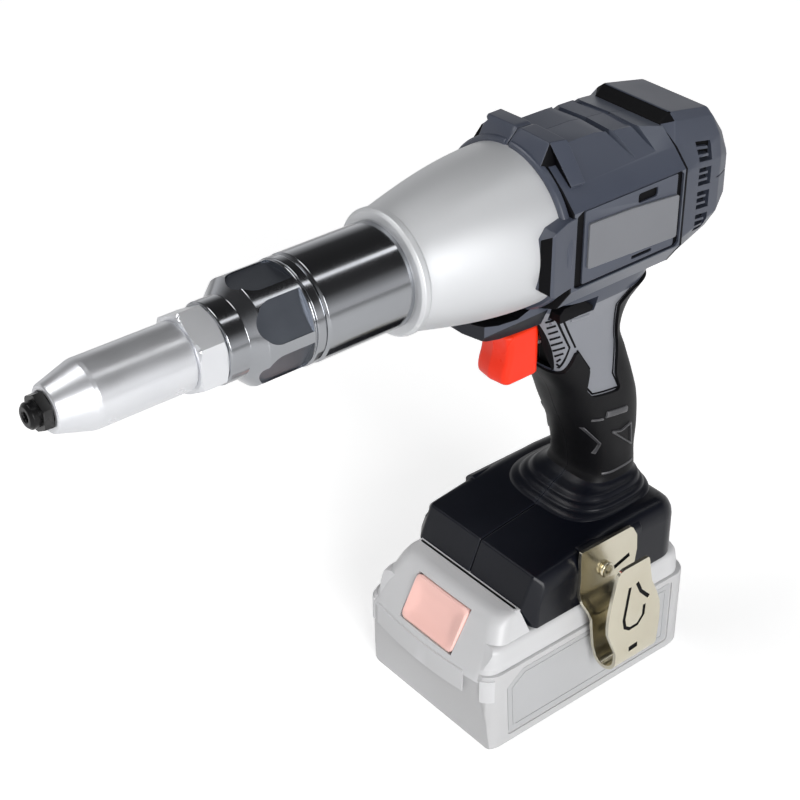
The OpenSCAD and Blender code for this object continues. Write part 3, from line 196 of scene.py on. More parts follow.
def tidy_faces(obj: Object, angle: float = 0.6) -> Object:
    """Merges doubles and joins coplanar faces of an object."""

    def change(bm: bmesh.types.BMesh) -> None:
        bmesh.ops.remove_doubles(bm, verts=bm.verts, dist=0.004)
        bmesh.ops.dissolve_limit(bm, angle_limit=math.radians(angle), verts=bm.verts, edges=bm.edges)
        bmesh.ops.dissolve_degenerate(bm, edges=bm.edges, dist=0.01)

    return edit(obj, change)


def closed(obj: Object) -> Object:
    """Closes the pinholes that a cut or a rounding can leave in an object."""

    def change(bm: bmesh.types.BMesh) -> None:
        bmesh.ops.remove_doubles(bm, verts=bm.verts, dist=WELD)
        if all(len(e.link_faces) == 2 for e in bm.edges):
            return
        bmesh.ops.remove_doubles(bm, verts=bm.verts, dist=PINHOLE)
        bmesh.ops.dissolve_degenerate(bm, edges=bm.edges, dist=WELD)
        flaps = [f for f in bm.faces
                 if any(len(e.link_faces) == 1 for e in f.edges)
                 and any(len(e.link_faces) > 2 for e in f.edges)]
        bmesh.ops.delete(bm, geom=flaps, context="FACES")
        bmesh.ops.holes_fill(bm, edges=[e for e in bm.edges if len(e.link_faces) == 1], sides=0)
        bmesh.ops.recalc_face_normals(bm, faces=bm.faces)

    return edit(obj, change)


def rounded(obj: Object, width: float, segments: int = 3, angle: float = 24.0) -> Object:
    """Rounds the edges of an object that are sharper than an angle.

    Args:
        obj: Object that is changed.
        width: Width of the rounding in millimetres.
        segments: Steps of the rounding.
        angle: Least angle in degrees of a rounded edge.

    Returns:
        The changed object.
    """
    mod = obj.modifiers.new("round", "BEVEL")
    mod.width = width
    mod.segments = segments
    mod.limit_method = "ANGLE"
    mod.angle_limit = math.radians(angle)
    mod.use_clamp_overlap = True
    return bake(obj)


def prism(name: str, outline: Outline, axis: Axis, low: float, high: float) -> Object:
    """Draws an outline out along an axis.

    Args:
        name: Name of the object.
        outline: Points in the plane of the two other axes, in X, Y, Z order.
        axis: Direction of the drawing.
        low: Lower end.
        high: Upper end.

    Returns:
        The closed solid.
    """
    count = len(outline)
    order = {Axis.X: (2, 0, 1), Axis.Y: (0, 2, 1), Axis.Z: (0, 1, 2)}[axis]
    points = []
    for level in (low, high):
        for a, b in outline:
            source = (a, b, level)
            points.append(tuple(source[k] for k in order))
    faces = [tuple(range(count)), tuple(range(count, 2 * count))]
    faces += [(i, (i + 1) % count, count + (i + 1) % count, count + i) for i in range(count)]
    return new_object(name, points, faces)


def block(name: str, low: Sequence[float], high: Sequence[float]) -> Object:
    """Makes a box between two corners."""
    outline = [(low[0], low[1]), (high[0], low[1]), (high[0], high[1]), (low[0], high[1])]
    return prism(name, outline, Axis.Z, low[2], high[2])


def hull(name: str, points: Sequence[Sequence[float]]) -> Object:
    """Makes the smallest convex solid around points."""
    obj = new_object(name, points, [])

    def change(bm: bmesh.types.BMesh) -> None:
        made = bmesh.ops.convex_hull(bm, input=bm.verts)
        loose = [v for v in made["geom_interior"] if isinstance(v, bmesh.types.BMVert)]
        bmesh.ops.delete(bm, geom=loose, context="VERTS")
        bmesh.ops.recalc_face_normals(bm, faces=bm.faces)

    edit(obj, change)
    return tidy_faces(obj)


def filleted(outline: Outline, radius: float, steps: int = 4) -> list[Point2]:
    """Rounds the corners of a closed outline.

    Args:
        outline: Corner points.
        radius: Largest radius of a corner.
        steps: Steps of each corner.

    Returns:
        The points of the rounded outline.
    """
    count = len(outline)
    result: list[Point2] = []
    for i, corner in enumerate(outline):
        here = Vector(corner)
        before = Vector(outline[i - 1]) - here
        after = Vector(outline[(i + 1) % count]) - here
        angle = before.angle(after)
        reach = min(radius / math.tan(angle / 2), before.length * 0.48, after.length * 0.48)
        start = here + before.normalized() * reach
        end = here + after.normalized() * reach
        for k in range(steps + 1):
            t = k / steps
            point = start.lerp(here, t).lerp(here.lerp(end, t), t)
            result.append((point.x, point.y))
    return result


def circle(a: float, b: float, radius: float, count: int) -> list[Point2]:
    """Gives the points of a circle about the place (a, b)."""
    turns = [math.tau * k / count for k in range(count)]
    return [(a + radius * math.cos(t), b + radius * math.sin(t)) for t in turns]


def at_height(outline: Outline, z: float) -> list[Point3]:
    """Lays an outline seen from above at a height."""
    return [(x, y, z) for x, y in outline]


def spaced(low: float, high: float, count: int) -> list[float]:
    """Gives the ends of a number of even steps from low to high."""
    return [low + (high - low) * k / count for k in range(count + 1)]


def revolved(name: str, profile: Outline, sides: int = 128, sweep: Point2 = (0, 360)) -> Object:
    """Turns a closed outline of (x, radius) about the tool's axis.

    Args:
        name: Name of the object.
        profile: Closed outline, all radii above zero.
        sides: Steps of a full turn.
        sweep: First and last angle in degrees, from +Y towards +Z.

    Returns:
        The closed solid.
    """
    full = sweep[1] - sweep[0] >= 360
    steps = sides if full else max(2, round(sides * (sweep[1] - sweep[0]) / 360))
    rows = steps if full else steps + 1
    count = len(profile)
    points = []
    for k in range(rows):
        a = math.radians(sweep[0] + (sweep[1] - sweep[0]) * k / steps)
        points += [(x, r * math.cos(a), AXIS_Z + r * math.sin(a)) for x, r in profile]
    faces = []
    for k in range(steps):
        n = (k + 1) % rows
        for i in range(count):
            j = (i + 1) % count
            faces.append((k * count + i, k * count + j, n * count + j, n * count + i))
    if not full:
        faces += [tuple(range(count)), tuple(range(steps * count, (steps + 1) * count))]
    return new_object(name, points, faces)


def lofted(name: str, rings: Sequence[Sequence[Sequence[float]]]) -> Object:
    """Makes a closed solid through a stack of rings with equal counts."""
    count = len(rings[0])
    points = [p for ring in rings for p in ring]
    top = (len(rings) - 1) * count
    faces: list[Sequence[int]] = [tuple(range(count)), tuple(range(top, top + count))]
    for k in range(len(rings) - 1):
        for i in range(count):
            j = (i + 1) % count
            faces.append((k * count + i, k * count + j, (k + 1) * count + j, (k + 1) * count + i))
    return new_object(name, points, faces)


def smooth_value(stations: Sequence[Point2], at: float) -> float:
    """Reads a smooth curve through (place, value) stations.

    Args:
        stations: Pairs in rising order of place.
        at: Place to read.

    Returns:
        The value there.
    """
    last = len(stations) - 1
    if at <= stations[0][0]:
        return stations[0][1]
    if at >= stations[last][0]:
        return stations[last][1]
    i = next(k for k in range(last) if stations[k][0] <= at <= stations[k + 1][0])
    (x0, y0), (x1, y1) = stations[i], stations[i + 1]

    def slope(k: int) -> float:
        """Slope of the curve at a station."""
        a, b = stations[max(k - 1, 0)], stations[min(k + 1, last)]
        return (b[1] - a[1]) / (b[0] - a[0])

    h = x1 - x0
    t = (at - x0) / h
    m0, m1 = slope(i) * h, slope(i + 1) * h
    near = ((2 * t - 3) * t * t + 1) * y0 + ((t - 2) * t + 1) * t * m0
    return near + (3 - 2 * t) * t * t * y1 + (t - 1) * t * t * m1


# Finishes


def fill(node: Node, values: dict[str | int, object]) -> None:
    """Sets inputs of a node, by name or number."""
    for key, value in values.items():
        node.inputs[key].default_value = value


def add_node(tree: Tree, kind: str, values: Optional[dict[str | int, object]] = None,
             **settings: object) -> Node:
    """Adds a node to a tree.

    Args:
        tree: Tree that grows.
        kind: Blender's name of the node's type.
        values: Values of its inputs, by name or number.
        settings: Its own settings.

    Returns:
        The new node.
    """
    node = tree.nodes.new(kind)
    for key, value in settings.items():
        setattr(node, key, value)
    fill(node, values or {})
    return node


def add_mix(tree: Tree, first: Sequence[float], second: Sequence[float]) -> Node:
    """Adds a mix of two colours to a tree."""
    return add_node(tree, "ShaderNodeMix", {6: (*first, 1.0), 7: (*second, 1.0)}, data_type="RGBA")


def add_socket(tree: Tree, label: str, kind: str, value: object = None, way: str = "INPUT") -> None:
    """Adds a socket to a node group.

    Args:
        tree: Group that grows.
        label: Name of the socket.
        kind: Kind of value that it carries.
        value: Its first value, where it has one.
        way: Whether it is an input or an output.
    """
    socket = tree.interface.new_socket(label, in_out=way, socket_type=f"NodeSocket{kind}")
    if value is not None:
        socket.default_value = value


def wire(tree: Tree, *links: tuple[Node, str | int, Node, str | int]) -> None:
    """Joins outputs to inputs, each link as node, output, node and input."""
    for source, output, target, entry in links:
        tree.links.new(source.outputs[output], target.inputs[entry])


class Groups:
    """Shader node groups that several finishes share."""

    _made: dict[str, Tree] = {}

    @classmethod
    def marks(cls, kind: Marks) -> Tree:
        """Gives the group that draws a kind of surface mark.

        Args:
            kind: Kind of mark.

        Returns:
            A group with the inputs Scale and Tone Scale and the outputs Height, Tone and an edge mask of
            wear and painted highlight.
        """
        if kind.value in cls._made:
            return cls._made[kind.value]
        tree = bpy.data.node_groups.new(f"{kind.value}_marks", "ShaderNodeTree")
        add_socket(tree, "Scale", "Float", 1000.0)
        add_socket(tree, "Tone Scale", "Float", 30.0)
        for label in ("Height", "Tone", "Wear And Highlight"):
            add_socket(tree, label, "Float", way="OUTPUT")
        entry, leave = add_node(tree, "NodeGroupInput"), add_node(tree, "NodeGroupOutput")
        spot = add_node(tree, "ShaderNodeTexCoord")
        stretch = {Marks.GRAIN: (1, 1, 1), Marks.LATHE: (1, 0.015, 0.015), Marks.BRUSH: (1, 1, 0.03)}
        mapping = add_node(tree, "ShaderNodeMapping", {"Scale": stretch[kind]})
        fine = add_node(tree, "ShaderNodeTexNoise", {"Detail": 4.0 if kind is Marks.GRAIN else 2.0})
        tone = add_node(tree, "ShaderNodeTexNoise", {"Detail": 3.0})
        # Pointiness finds convex edges, which the finish's edge colour lightens: partly wear, partly
        # painted highlight.
        edge = add_node(tree, "ShaderNodeNewGeometry")
        wear_and_highlight = add_node(tree, "ShaderNodeMapRange", {"From Min": 0.53, "From Max": 0.62})
        patchy = add_node(tree, "ShaderNodeMath", operation="MULTIPLY")
        wire(tree, (spot, "Object", mapping, "Vector"), (mapping, "Vector", fine, "Vector"),
             (entry, "Scale", fine, "Scale"), (spot, "Object", tone, "Vector"),
             (entry, "Tone Scale", tone, "Scale"), (edge, "Pointiness", wear_and_highlight, "Value"),
             (wear_and_highlight, "Result", patchy, 0), (tone, "Fac", patchy, 1), (fine, "Fac", leave, "Height"),
             (tone, "Fac", leave, "Tone"), (patchy, "Value", leave, "Wear And Highlight"))
        cls._made[kind.value] = tree
        return tree


@dataclass(frozen=True)
class Finish:
    """How one material of the tool looks."""

    name: str
    colour: Point3
    tone: Point3
    # Lighter colour of convex edges: partly wear, partly painted highlight.
    wear_and_highlight: Point3
    rough: Point2
    metallic: float = 0.0
    marks: Marks = Marks.GRAIN
    scale: float = 2200.0
    tone_scale: float = 30.0
    bump: float = 0.1
    depth: float = 0.0002
    specular: float = 0.5
    see_through: float = 0.0

    def material(self) -> bpy.types.Material:
        """Gives the Blender material of this finish, made on first use."""
        label = f"{self.name}_finish"
        made = bpy.data.materials.get(label)
        if made:
            return made
        mat = bpy.data.materials.new(label)
        mat.use_nodes = True
        tree = mat.node_tree
        shader = tree.nodes["Principled BSDF"]
        fill(shader, {"Metallic": self.metallic, "Specular IOR Level": self.specular,
                      "Transmission Weight": self.see_through})
        marks = add_node(tree, "ShaderNodeGroup", {"Scale": self.scale, "Tone Scale": self.tone_scale},
                         node_tree=Groups.marks(self.marks))
        base = add_mix(tree, self.colour, self.tone)
        # Convex edges take the lighter edge colour: partly wear, partly painted highlight.
        edge = add_mix(tree, self.colour, self.wear_and_highlight)
        rough = add_node(tree, "ShaderNodeMapRange", {"From Min": 0.3, "From Max": 0.7,
                                                      "To Min": self.rough[0], "To Max": self.rough[1]})
        bump = add_node(tree, "ShaderNodeBump", {"Strength": self.bump, "Distance": self.depth})
        wire(tree, (marks, "Tone", base, "Factor"), (base, 2, edge, 6), (marks, "Wear And Highlight", edge, "Factor"),
             (edge, 2, shader, "Base Color"), (marks, "Tone", rough, "Value"),
             (rough, "Result", shader, "Roughness"), (marks, "Height", bump, "Height"),
             (bump, "Normal", shader, "Normal"))
        return mat


CHROME = Finish(
    "chrome", (0.74, 0.75, 0.77), (0.66, 0.67, 0.7), (0.82, 0.82, 0.83), (0.27, 0.37), 0.8, Marks.LATHE,
    2600, 60, 0.3, 0.00008)
BLACK_STEEL = Finish(
    "black_steel", (0.007, 0.007, 0.008), (0.012, 0.012, 0.012), (0.08, 0.08, 0.08), (0.22, 0.34), 0.4,
    Marks.GRAIN, 1500, 120, 0.1, 0.0001, specular=0.3)
BLACK_ANODISED = Finish(
    "black_anodised", (0.38, 0.39, 0.41), (0.33, 0.34, 0.36), (0.45, 0.45, 0.47), (0.12, 0.18), 1.0,
    Marks.LATHE, 2400, 40, 0.14, 0.00005)
MILLED_BLACK = Finish(
    "milled_black", (0.1, 0.112, 0.135), (0.14, 0.152, 0.175), (0.3, 0.3, 0.32), (0.28, 0.38), 0.9,
    Marks.BRUSH, 2400, 60, 0.25, 0.00008)
CAST_SILVER = Finish(
    "cast_silver", (0.66, 0.67, 0.685), (0.6, 0.61, 0.625), (0.72, 0.72, 0.73), (0.45, 0.55), 0.6,
    Marks.GRAIN, 2600, 16, 0.12, 0.0001)
HOUSING = Finish(
    "housing_plastic", (0.041, 0.048, 0.069), (0.051, 0.059, 0.083), (0.1, 0.11, 0.135), (0.3, 0.4),
    0.0, Marks.GRAIN, 2400, 24, 0.14, 0.00016)
HANDLE_FIELD = Finish(
    "handle_plastic", (0.185, 0.193, 0.216), (0.208, 0.216, 0.24), (0.29, 0.298, 0.32), (0.34, 0.44),
    0.0, Marks.GRAIN, 2400, 24, 0.14, 0.00016)
BASE_NAVY = Finish(
    "base_plastic", (0.0018, 0.0024, 0.0055), (0.003, 0.004, 0.0085), (0.03, 0.035, 0.05), (0.28, 0.38),
    0.0, Marks.GRAIN, 2200, 24, 0.12, 0.00016, specular=0.32)
# Painted shade: black for grooves, gaps, recesses, hollows and blunt fronts where shadow falls, and for
# the thin sheets, strips and fills that draw shadow lines.
PAINTED_SHADE = Finish(
    "painted_shade", (0.001, 0.001, 0.0015), (0.002, 0.002, 0.003), (0.006, 0.006, 0.007), (0.5, 0.65),
    specular=0.1)
RUBBER = Finish(
    "grip_rubber", (0.003, 0.003, 0.0038), (0.005, 0.005, 0.006), (0.02, 0.02, 0.022), (0.4, 0.52), 0.0,
    Marks.GRAIN, 1500, 40, 0.2, 0.0002, specular=0.15)
# Raised grip lines: the same rubber, really glossier, with its colour lifted tenfold as a painted
# highlight on their tops.
RUBBER_LINE_HIGHLIGHT = Finish(
    "grip_line", (0.03, 0.03, 0.033), (0.045, 0.045, 0.05), (0.2, 0.2, 0.21), (0.26, 0.36), 0.0,
    Marks.GRAIN, 1500, 40, 0.1, 0.0001)
BADGE = Finish(
    "badge_plastic", (0.13, 0.135, 0.15), (0.16, 0.165, 0.18), (0.3, 0.31, 0.33), (0.26, 0.34), 0.0,
    Marks.GRAIN, 2000, 24, 0.1, 0.00015)
SCREW_STEEL = Finish(
    "screw_steel", (0.5, 0.5, 0.52), (0.42, 0.42, 0.44), (0.7, 0.7, 0.7), (0.22, 0.34), 1.0,
    Marks.GRAIN, 900, 90)
GEAR_STEEL = Finish(
    "gear_steel", (0.42, 0.42, 0.44), (0.34, 0.34, 0.36), (0.6, 0.6, 0.6), (0.25, 0.4), 1.0,
    Marks.BRUSH, 1800, 60)
BEARING_STEEL = Finish(
    "bearing_steel", (0.6, 0.6, 0.62), (0.5, 0.5, 0.52), (0.75, 0.75, 0.75), (0.12, 0.22), 1.0,
    Marks.LATHE, 2000, 60)
SPRING_STEEL = Finish(
    "spring_steel", (0.55, 0.55, 0.57), (0.45, 0.45, 0.47), (0.7, 0.7, 0.7), (0.2, 0.32), 1.0)
BRONZE = Finish(
    "bronze", (0.55, 0.36, 0.12), (0.45, 0.28, 0.09), (0.7, 0.5, 0.2), (0.22, 0.36), 1.0, Marks.LATHE)
PLATE_ALLOY = Finish(
    "plate_alloy", (0.5, 0.5, 0.52), (0.42, 0.42, 0.44), (0.7, 0.7, 0.7), (0.3, 0.42), 1.0, Marks.BRUSH)
LAMINATION = Finish(
    "lamination", (0.2, 0.2, 0.22), (0.14, 0.14, 0.16), (0.4, 0.4, 0.4), (0.35, 0.5), 1.0, Marks.LATHE)
COPPER = Finish(
    "copper", (0.55, 0.2, 0.08), (0.4, 0.13, 0.05), (0.7, 0.3, 0.15), (0.25, 0.4), 1.0, Marks.BRUSH)
BLACK_PLASTIC = Finish(
    "black_plastic", (0.004, 0.004, 0.0046), (0.007, 0.007, 0.008), (0.03, 0.03, 0.03), (0.4, 0.5),
    specular=0.2)
TRIGGER_RED = Finish(
    "trigger_plastic", (0.86, 0.022, 0.003), (0.92, 0.034, 0.006), (0.95, 0.18, 0.09), (0.24, 0.32),
    0.0, Marks.GRAIN, 1800, 30, 0.06, 0.0001, specular=0.3)
LENS = Finish(
    "lens", (0.9, 0.92, 0.95), (0.85, 0.88, 0.92), (0.95, 0.95, 0.97), (0.04, 0.1), see_through=0.7)
BOARD = Finish(
    "board", (0.02, 0.12, 0.05), (0.03, 0.16, 0.07), (0.1, 0.25, 0.12), (0.3, 0.45))
NICKEL = Finish(
    "hook_nickel", (0.76, 0.72, 0.59), (0.66, 0.61, 0.48), (0.86, 0.83, 0.73), (0.16, 0.28), 1.0,
    Marks.BRUSH, 1600, 50, 0.1, 0.0001)
PACK = Finish(
    "pack_plastic", (0.56, 0.562, 0.57), (0.6, 0.602, 0.61), (0.7, 0.7, 0.72), (0.34, 0.44), 0.0,
    Marks.GRAIN, 2000, 24, 0.1, 0.00015)
PACK_LOW = Finish(
    "pack_lower_plastic", (0.5, 0.5, 0.505), (0.53, 0.53, 0.535), (0.62, 0.62, 0.64), (0.38, 0.48), 0.0,
    Marks.GRAIN, 2000, 24, 0.1, 0.00015)
LABEL = Finish(
    "label_panel", (0.4, 0.405, 0.415), (0.43, 0.435, 0.445), (0.6, 0.6, 0.6), (0.3, 0.38), 0.0,
    Marks.BRUSH, 1500, 20, 0.04, 0.0001)
BUTTON = Finish(
    "button_plastic", (0.93, 0.55, 0.49), (0.95, 0.59, 0.53), (0.97, 0.72, 0.67), (0.28, 0.38), 0.0,
    Marks.GRAIN, 1800, 30, 0.06, 0.0001)
CELL_CAN = Finish(
    "cell_can", (0.05, 0.2, 0.25), (0.07, 0.25, 0.3), (0.3, 0.4, 0.45), (0.25, 0.4))

SLOT_FINISHES = {f.name: f for f in (
    CHROME, BLACK_STEEL, BLACK_ANODISED, CAST_SILVER, HOUSING, RUBBER, BADGE, SCREW_STEEL, GEAR_STEEL,
    BEARING_STEEL, SPRING_STEEL, BRONZE, PLATE_ALLOY, LAMINATION, COPPER, BLACK_PLASTIC, TRIGGER_RED,
    LENS, BOARD, NICKEL, PACK, BUTTON, CELL_CAN)}


def place(obj: Object, finish: Finish, body: str, stands_for: Sequence[str] = (),
          sharp: float = 40.0, extra: Sequence[Finish] = ()) -> Object:
    """Finishes a piece: metres, smooth shading, material, body and the nodes it stands for.

    Args:
        obj: Piece drawn in millimetres.
        finish: Its look.
        body: Body that it rides on.
        stands_for: CAD nodes that it replaces.
        sharp: Angle in degrees above which an edge stays sharp.
        extra: Looks of further material numbers.

    Returns:
        The placed piece.
    """
    closed(obj)
    obj.data.shade_smooth()
    obj.data.set_sharp_from_angle(angle=math.radians(sharp))
    weight = obj.modifiers.new("weight", "WEIGHTED_NORMAL")
    weight.keep_sharp = True
    bake(obj)
    obj.data.transform(Matrix.Scale(MM, 4))
    obj.data.name = obj.name
    obj.data.materials.clear()
    for look in (finish, *extra):
        obj.data.materials.append(look.material())
    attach(obj, body)
    if stands_for:
        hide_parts(*stands_for)
    LOG.info("%s: %d faces on %s", obj.name, len(obj.data.polygons), body)
    return obj


def paint(obj: Object, number: int, test: Callable[[Vector, Vector], bool]) -> None:
    """Gives a material number to the faces that pass a test of their centre and normal."""
    for face in obj.data.polygons:
        if test(face.center, face.normal):
            face.material_index = number


# Nose


def hexagon(across: float, turn: float = 90.0) -> list[Point2]:
    """Gives the (y, z) corners of a hexagon about the tool's axis."""
    r = across / math.sqrt(3)
    angles = [math.radians(turn + 60 * k) for k in range(6)]
    return [(r * math.cos(a), AXIS_Z + r * math.sin(a)) for a in angles]


@dataclass
class Nose:
    """Turned pieces in front of the motor housing, as (x, radius) in millimetres."""

    tip_x: float = -223.0
    hex_x: Point2 = (-219.5, -216.05)
    sleeve_x: float = -216.0
    nut_x: float = -166.0
    coupling_x: float = -155.0
    barrel_x: float = -119.0
    case_x: float = -81.0
    housing_x: float = -22.0
    flat_plane: float = 17.25
    flat_half: float = 7.76
    flat_x: Point2 = (-144.5, -124.4)

    def build(self) -> None:
        """Builds and places every piece."""
        place(self.nosepiece(), BLACK_STEEL, "tool", ["nosepiece"])
        place(self.sleeve(), CHROME, "tool", ["nose_sleeve"])
        place(self.nut(), CHROME, "tool", ["lock_nut"])
        coupling = place(self.coupling(), BLACK_ANODISED, "tool", ["coupling"],
                         extra=[MILLED_BLACK])
        paint(coupling, 1, self._on_flat)
        place(self.barrel(), BLACK_ANODISED, "tool", ["barrel"])
        place(self.gear_case(), CAST_SILVER, "tool", ["gear_case"])

    def nosepiece(self) -> Object:
        """Builds the bored tip with its hexagon."""
        x = self.tip_x
        profile = [(x + 0.5, 1.7), (x, 2.2), (x, 3.6), (x + 1, 4.6), (-206, 4.6), (-206, 1.7)]
        tip = revolved("tip", profile, 96)
        low, high = self.hex_x
        spanner = prism("spanner", hexagon(11.96), Axis.X, low, high)
        profile = [(low - 1, 4.4), (low - 1, 5.6), (low + 0.5, 6.95), (high + 1, 6.95), (high + 1, 4.4)]
        turned = revolved("turned", profile, 96)
        boolean(spanner, [turned], "INTERSECT")
        return join("nosepiece_tip", [rounded(tip, 0.2, 2), rounded(tidy_faces(spanner), 0.15, 2)])

    def sleeve(self) -> Object:
        """Builds the slim sleeve with its conical front."""
        x = self.sleeve_x
        profile = [(x, 6), (x, 7.9), (x + 0.6, 8.5), (-205, 11.56), (-203.2, 12.1), (-201.7, 12.3),
                   (self.nut_x + 0.1, 12.3), (self.nut_x + 0.1, 9.1), (-206.4, 9.1), (-206.4, 6)]
        return rounded(revolved("nose_sleeve_shell", filleted(profile, 0.8, 3), 128), 0.12, 2, 40)

    def nut(self) -> Object:
        """Builds the hexagon lock nut with its turned chamfers."""
        low, high = self.nut_x, self.coupling_x
        nut = prism("lock_nut_hexagon", hexagon(27), Axis.X, low, high)
        profile = [(low - 0.01, 9), (low - 0.01, 13.5), (low + 1.54, 15.8), (high - 1.54, 15.8),
                   (high + 0.01, 13.5), (high + 0.01, 9)]
        boolean(nut, [revolved("turned", profile, 128)], "INTERSECT")
        return rounded(tidy_faces(nut, 0.2), 0.22, 2)

    def coupling(self) -> Object:
        """Builds the black coupling with six round-ended flats and its rear ring."""
        x, end = self.coupling_x, self.barrel_x - 0.05
        profile = [(x, 10), (x, 14.3), (x + 0.5, 14.84), (-147.1, 14.84), (-142.8, 19.4), (-124, 19.4),
                   (-123.7, 18.9), (-123.3, 18.9), (-123, 19.75), (-119.9, 19.75), (end, 19.1), (end, 10)]
        body = rounded(revolved("coupling_with_flats", profile, 192), 0.18, 2)
        low, high = self.flat_x
        half = self.flat_half
        arc = [math.radians(90 + 180 * k / 24) for k in range(25)]
        outline = [(high, -half), (high, half)]
        outline += [(low + half + half * math.cos(a), half * math.sin(a)) for a in arc]
        up = Matrix.Translation((0, 0, AXIS_Z))
        cutters = []
        for k in range(6):
            cutters.append(prism("flat", outline, Axis.Z, self.flat_plane, 26))
            cutters[-1].data.transform(up @ Matrix.Rotation(math.radians(60 * k), 4, "X"))
        return boolean(body, cutters)

    def _on_flat(self, centre: Vector, normal: Vector) -> bool:
        """Tells whether a face of the placed coupling is one of its flats."""
        low, high = self.flat_x
        across = math.hypot(centre.y / MM, centre.z / MM - AXIS_Z)
        flat = abs(normal.x) < 0.01 and abs(across - self.flat_plane) < 0.75
        return flat and low - 0.1 < centre.x / MM < high + 0.1

    def barrel(self) -> Object:
        """Builds the plain barrel with its turned ends."""
        x, end = self.barrel_x, self.case_x + 0.1
        profile = [(x + 0.05, 12), (x + 0.05, 19.1), (x + 0.9, 20), (end - 0.9, 20), (end - 0.6, 19.3),
                   (end, 19.3), (end, 12)]
        return rounded(revolved("barrel_tube", profile, 192), 0.15, 2)

    def gear_case(self) -> Object:
        """Builds the cast gear case with its beaded rim and bell-shaped body."""
        x = self.case_x
        body_x = x + 4.13
        wide = [(body_x + (self.housing_x - body_x) * k / 28,
                 23.28 + 8.32 * math.sin(math.radians(90 * k / 28))) for k in range(29)]
        end = self.housing_x + 4
        profile = [(x, 18.8), (x, 22.9), (x + 1.1, 24), (body_x - 0.9, 24), (body_x - 0.1, 23.35),
                   *wide[1:], (end, 31.6), (end, 18.8)]
        return rounded(revolved("gear_case_bell", profile, 192), 0.3, 3, 30)


# Motor housing and handle


@dataclass
class Handle:
    """Smooth handle surface: stations of height, front, rear and half width in millimetres."""

    stations: tuple[Point4, ...] = ()
    power: float = 0.66

    def section(self, z: float, grow: float = 0.0) -> Point3:
        """Gives the front, rear and half width of the handle at a height."""
        values = [smooth_value([(s[0], s[k]) for s in self.stations], z) for k in (1, 2, 3)]
        return values[0] - grow, values[1] + grow, values[2] + grow

    def half_ring(self, z: float, grow: float, count: int, inner: float) -> list[Point3]:
        """Gives the left half of the handle's outline at a height, from its rear to its front.

        Args:
            z: Height of the ring.
            grow: How far the ring lies outside the handle.
            count: Steps of the half ring.
            inner: Y of the ends at the middle plane.

        Returns:
            The points of the half ring.
        """
        front, rear, half = self.section(z, grow)
        middle, reach = (front + rear) / 2, (rear - front) / 2
        points = []
        for k in range(count + 1):
            a = math.pi * k / count
            c, s = math.cos(a), math.sin(a)
            x = middle + reach * math.copysign(abs(c) ** self.power, c)
            y = -half * abs(s) ** self.power
            points.append((x, min(y, inner), z))
        return points

    def front_x(self, y: float, z: float, grow: float = 0.0) -> float:
        """Gives the X of the front surface at a distance from the middle plane and a height."""
        front, rear, half = self.section(z, grow)
        part = min(1.0, y / half) ** (2 / self.power)
        return (front + rear) / 2 - (rear - front) / 2 * (1 - part) ** (self.power / 2)

    def side_y(self, x: float, z: float, grow: float = 0.0) -> float:
        """Gives the Y of the left surface at a place seen from the side."""
        front, rear, half = self.section(z, grow)
        middle, reach = (front + rear) / 2, (rear - front) / 2
        share = min(1.0, abs(x - middle) / reach) ** (1 / self.power)
        return -half * max(0.0, 1 - share * share) ** (self.power / 2)


HANDLE = Handle(stations=(
    (68.0, 14.0, 45.6, 16.0), (79.0, 14.0, 45.6, 16.0), (84.5, 15.4, 45.8, 16.0),
    (87.5, 17.4, 45.4, 15.9), (91.0, 19.8, 45.0, 15.6), (98.6, 19.2, 44.4, 15.5),
    (110.4, 16.0, 44.8, 16.0), (124.5, 10.0, 43.6, 16.5), (136.4, 5.2, 40.0, 16.5),
    (148.3, -2.0, 36.0, 16.0), (160.1, -8.0, 32.0, 16.0), (172.6, -12.0, 36.0, 17.0),
    (182.5, -14.0, 44.8, 19.8), (192.6, -16.0, 50.0, 22.3)))
FOOT = Handle(stations=(
    (78.0, 0.0, 50.4, 28.6), (80.2, 1.6, 50.2, 27.4), (81.0, 3.0, 49.6, 26.0),
    (81.5, 4.4, 49.1, 24.8), (82.4, 5.4, 48.9, 24.2), (83.2, 6.6, 48.6, 23.2),
    (83.7, 8.0, 48.1, 22.0), (84.6, 9.0, 47.9, 21.3), (85.6, 10.2, 47.7, 20.4),
    (86.3, 12.0, 47.2, 18.9), (87.4, 14.6, 46.7, 17.4), (89.4, 17.6, 45.8, 16.2),
    (93.0, 19.2, 44.5, 15.0)))


class Field(Enum):
    """Fields of the housing with a look of their own, as material numbers; one of them is black painted
    shade.
    """

    BASE = 1
    SHADE = 2
    HANDLE = 3


def trigger_room() -> Object:
    """Builds the cutter for the trigger's room in the handle and in its skin."""
    return block("trigger_room", (-60, -8.9, 151.2), (-1, 3, 174.3))


def place_seam_shade(name: str, half: Outline, bore: float, seam_x: float, reach: Point2) -> None:
    """Builds and places a thin black sheet across the motor housing: painted shade that draws the shadow
    line of a seam.

    Args:
        name: Name of the piece.
        half: Right half of its outline as (y, z).
        bore: Radius of its hole.
        seam_x: X of the seam that it fills.
        reach: Its front and rear, from that seam.
    """
    outline = [*half, *((-y, z) for y, z in half[::-1])]
    plate = prism(name, outline, Axis.X, seam_x + reach[0], seam_x + reach[1])
    boolean(plate, [prism("bore", circle(0.0, AXIS_Z, bore, 96), Axis.X, seam_x - 5, seam_x + 5)])
    place(plate, PAINTED_SHADE, "tool")


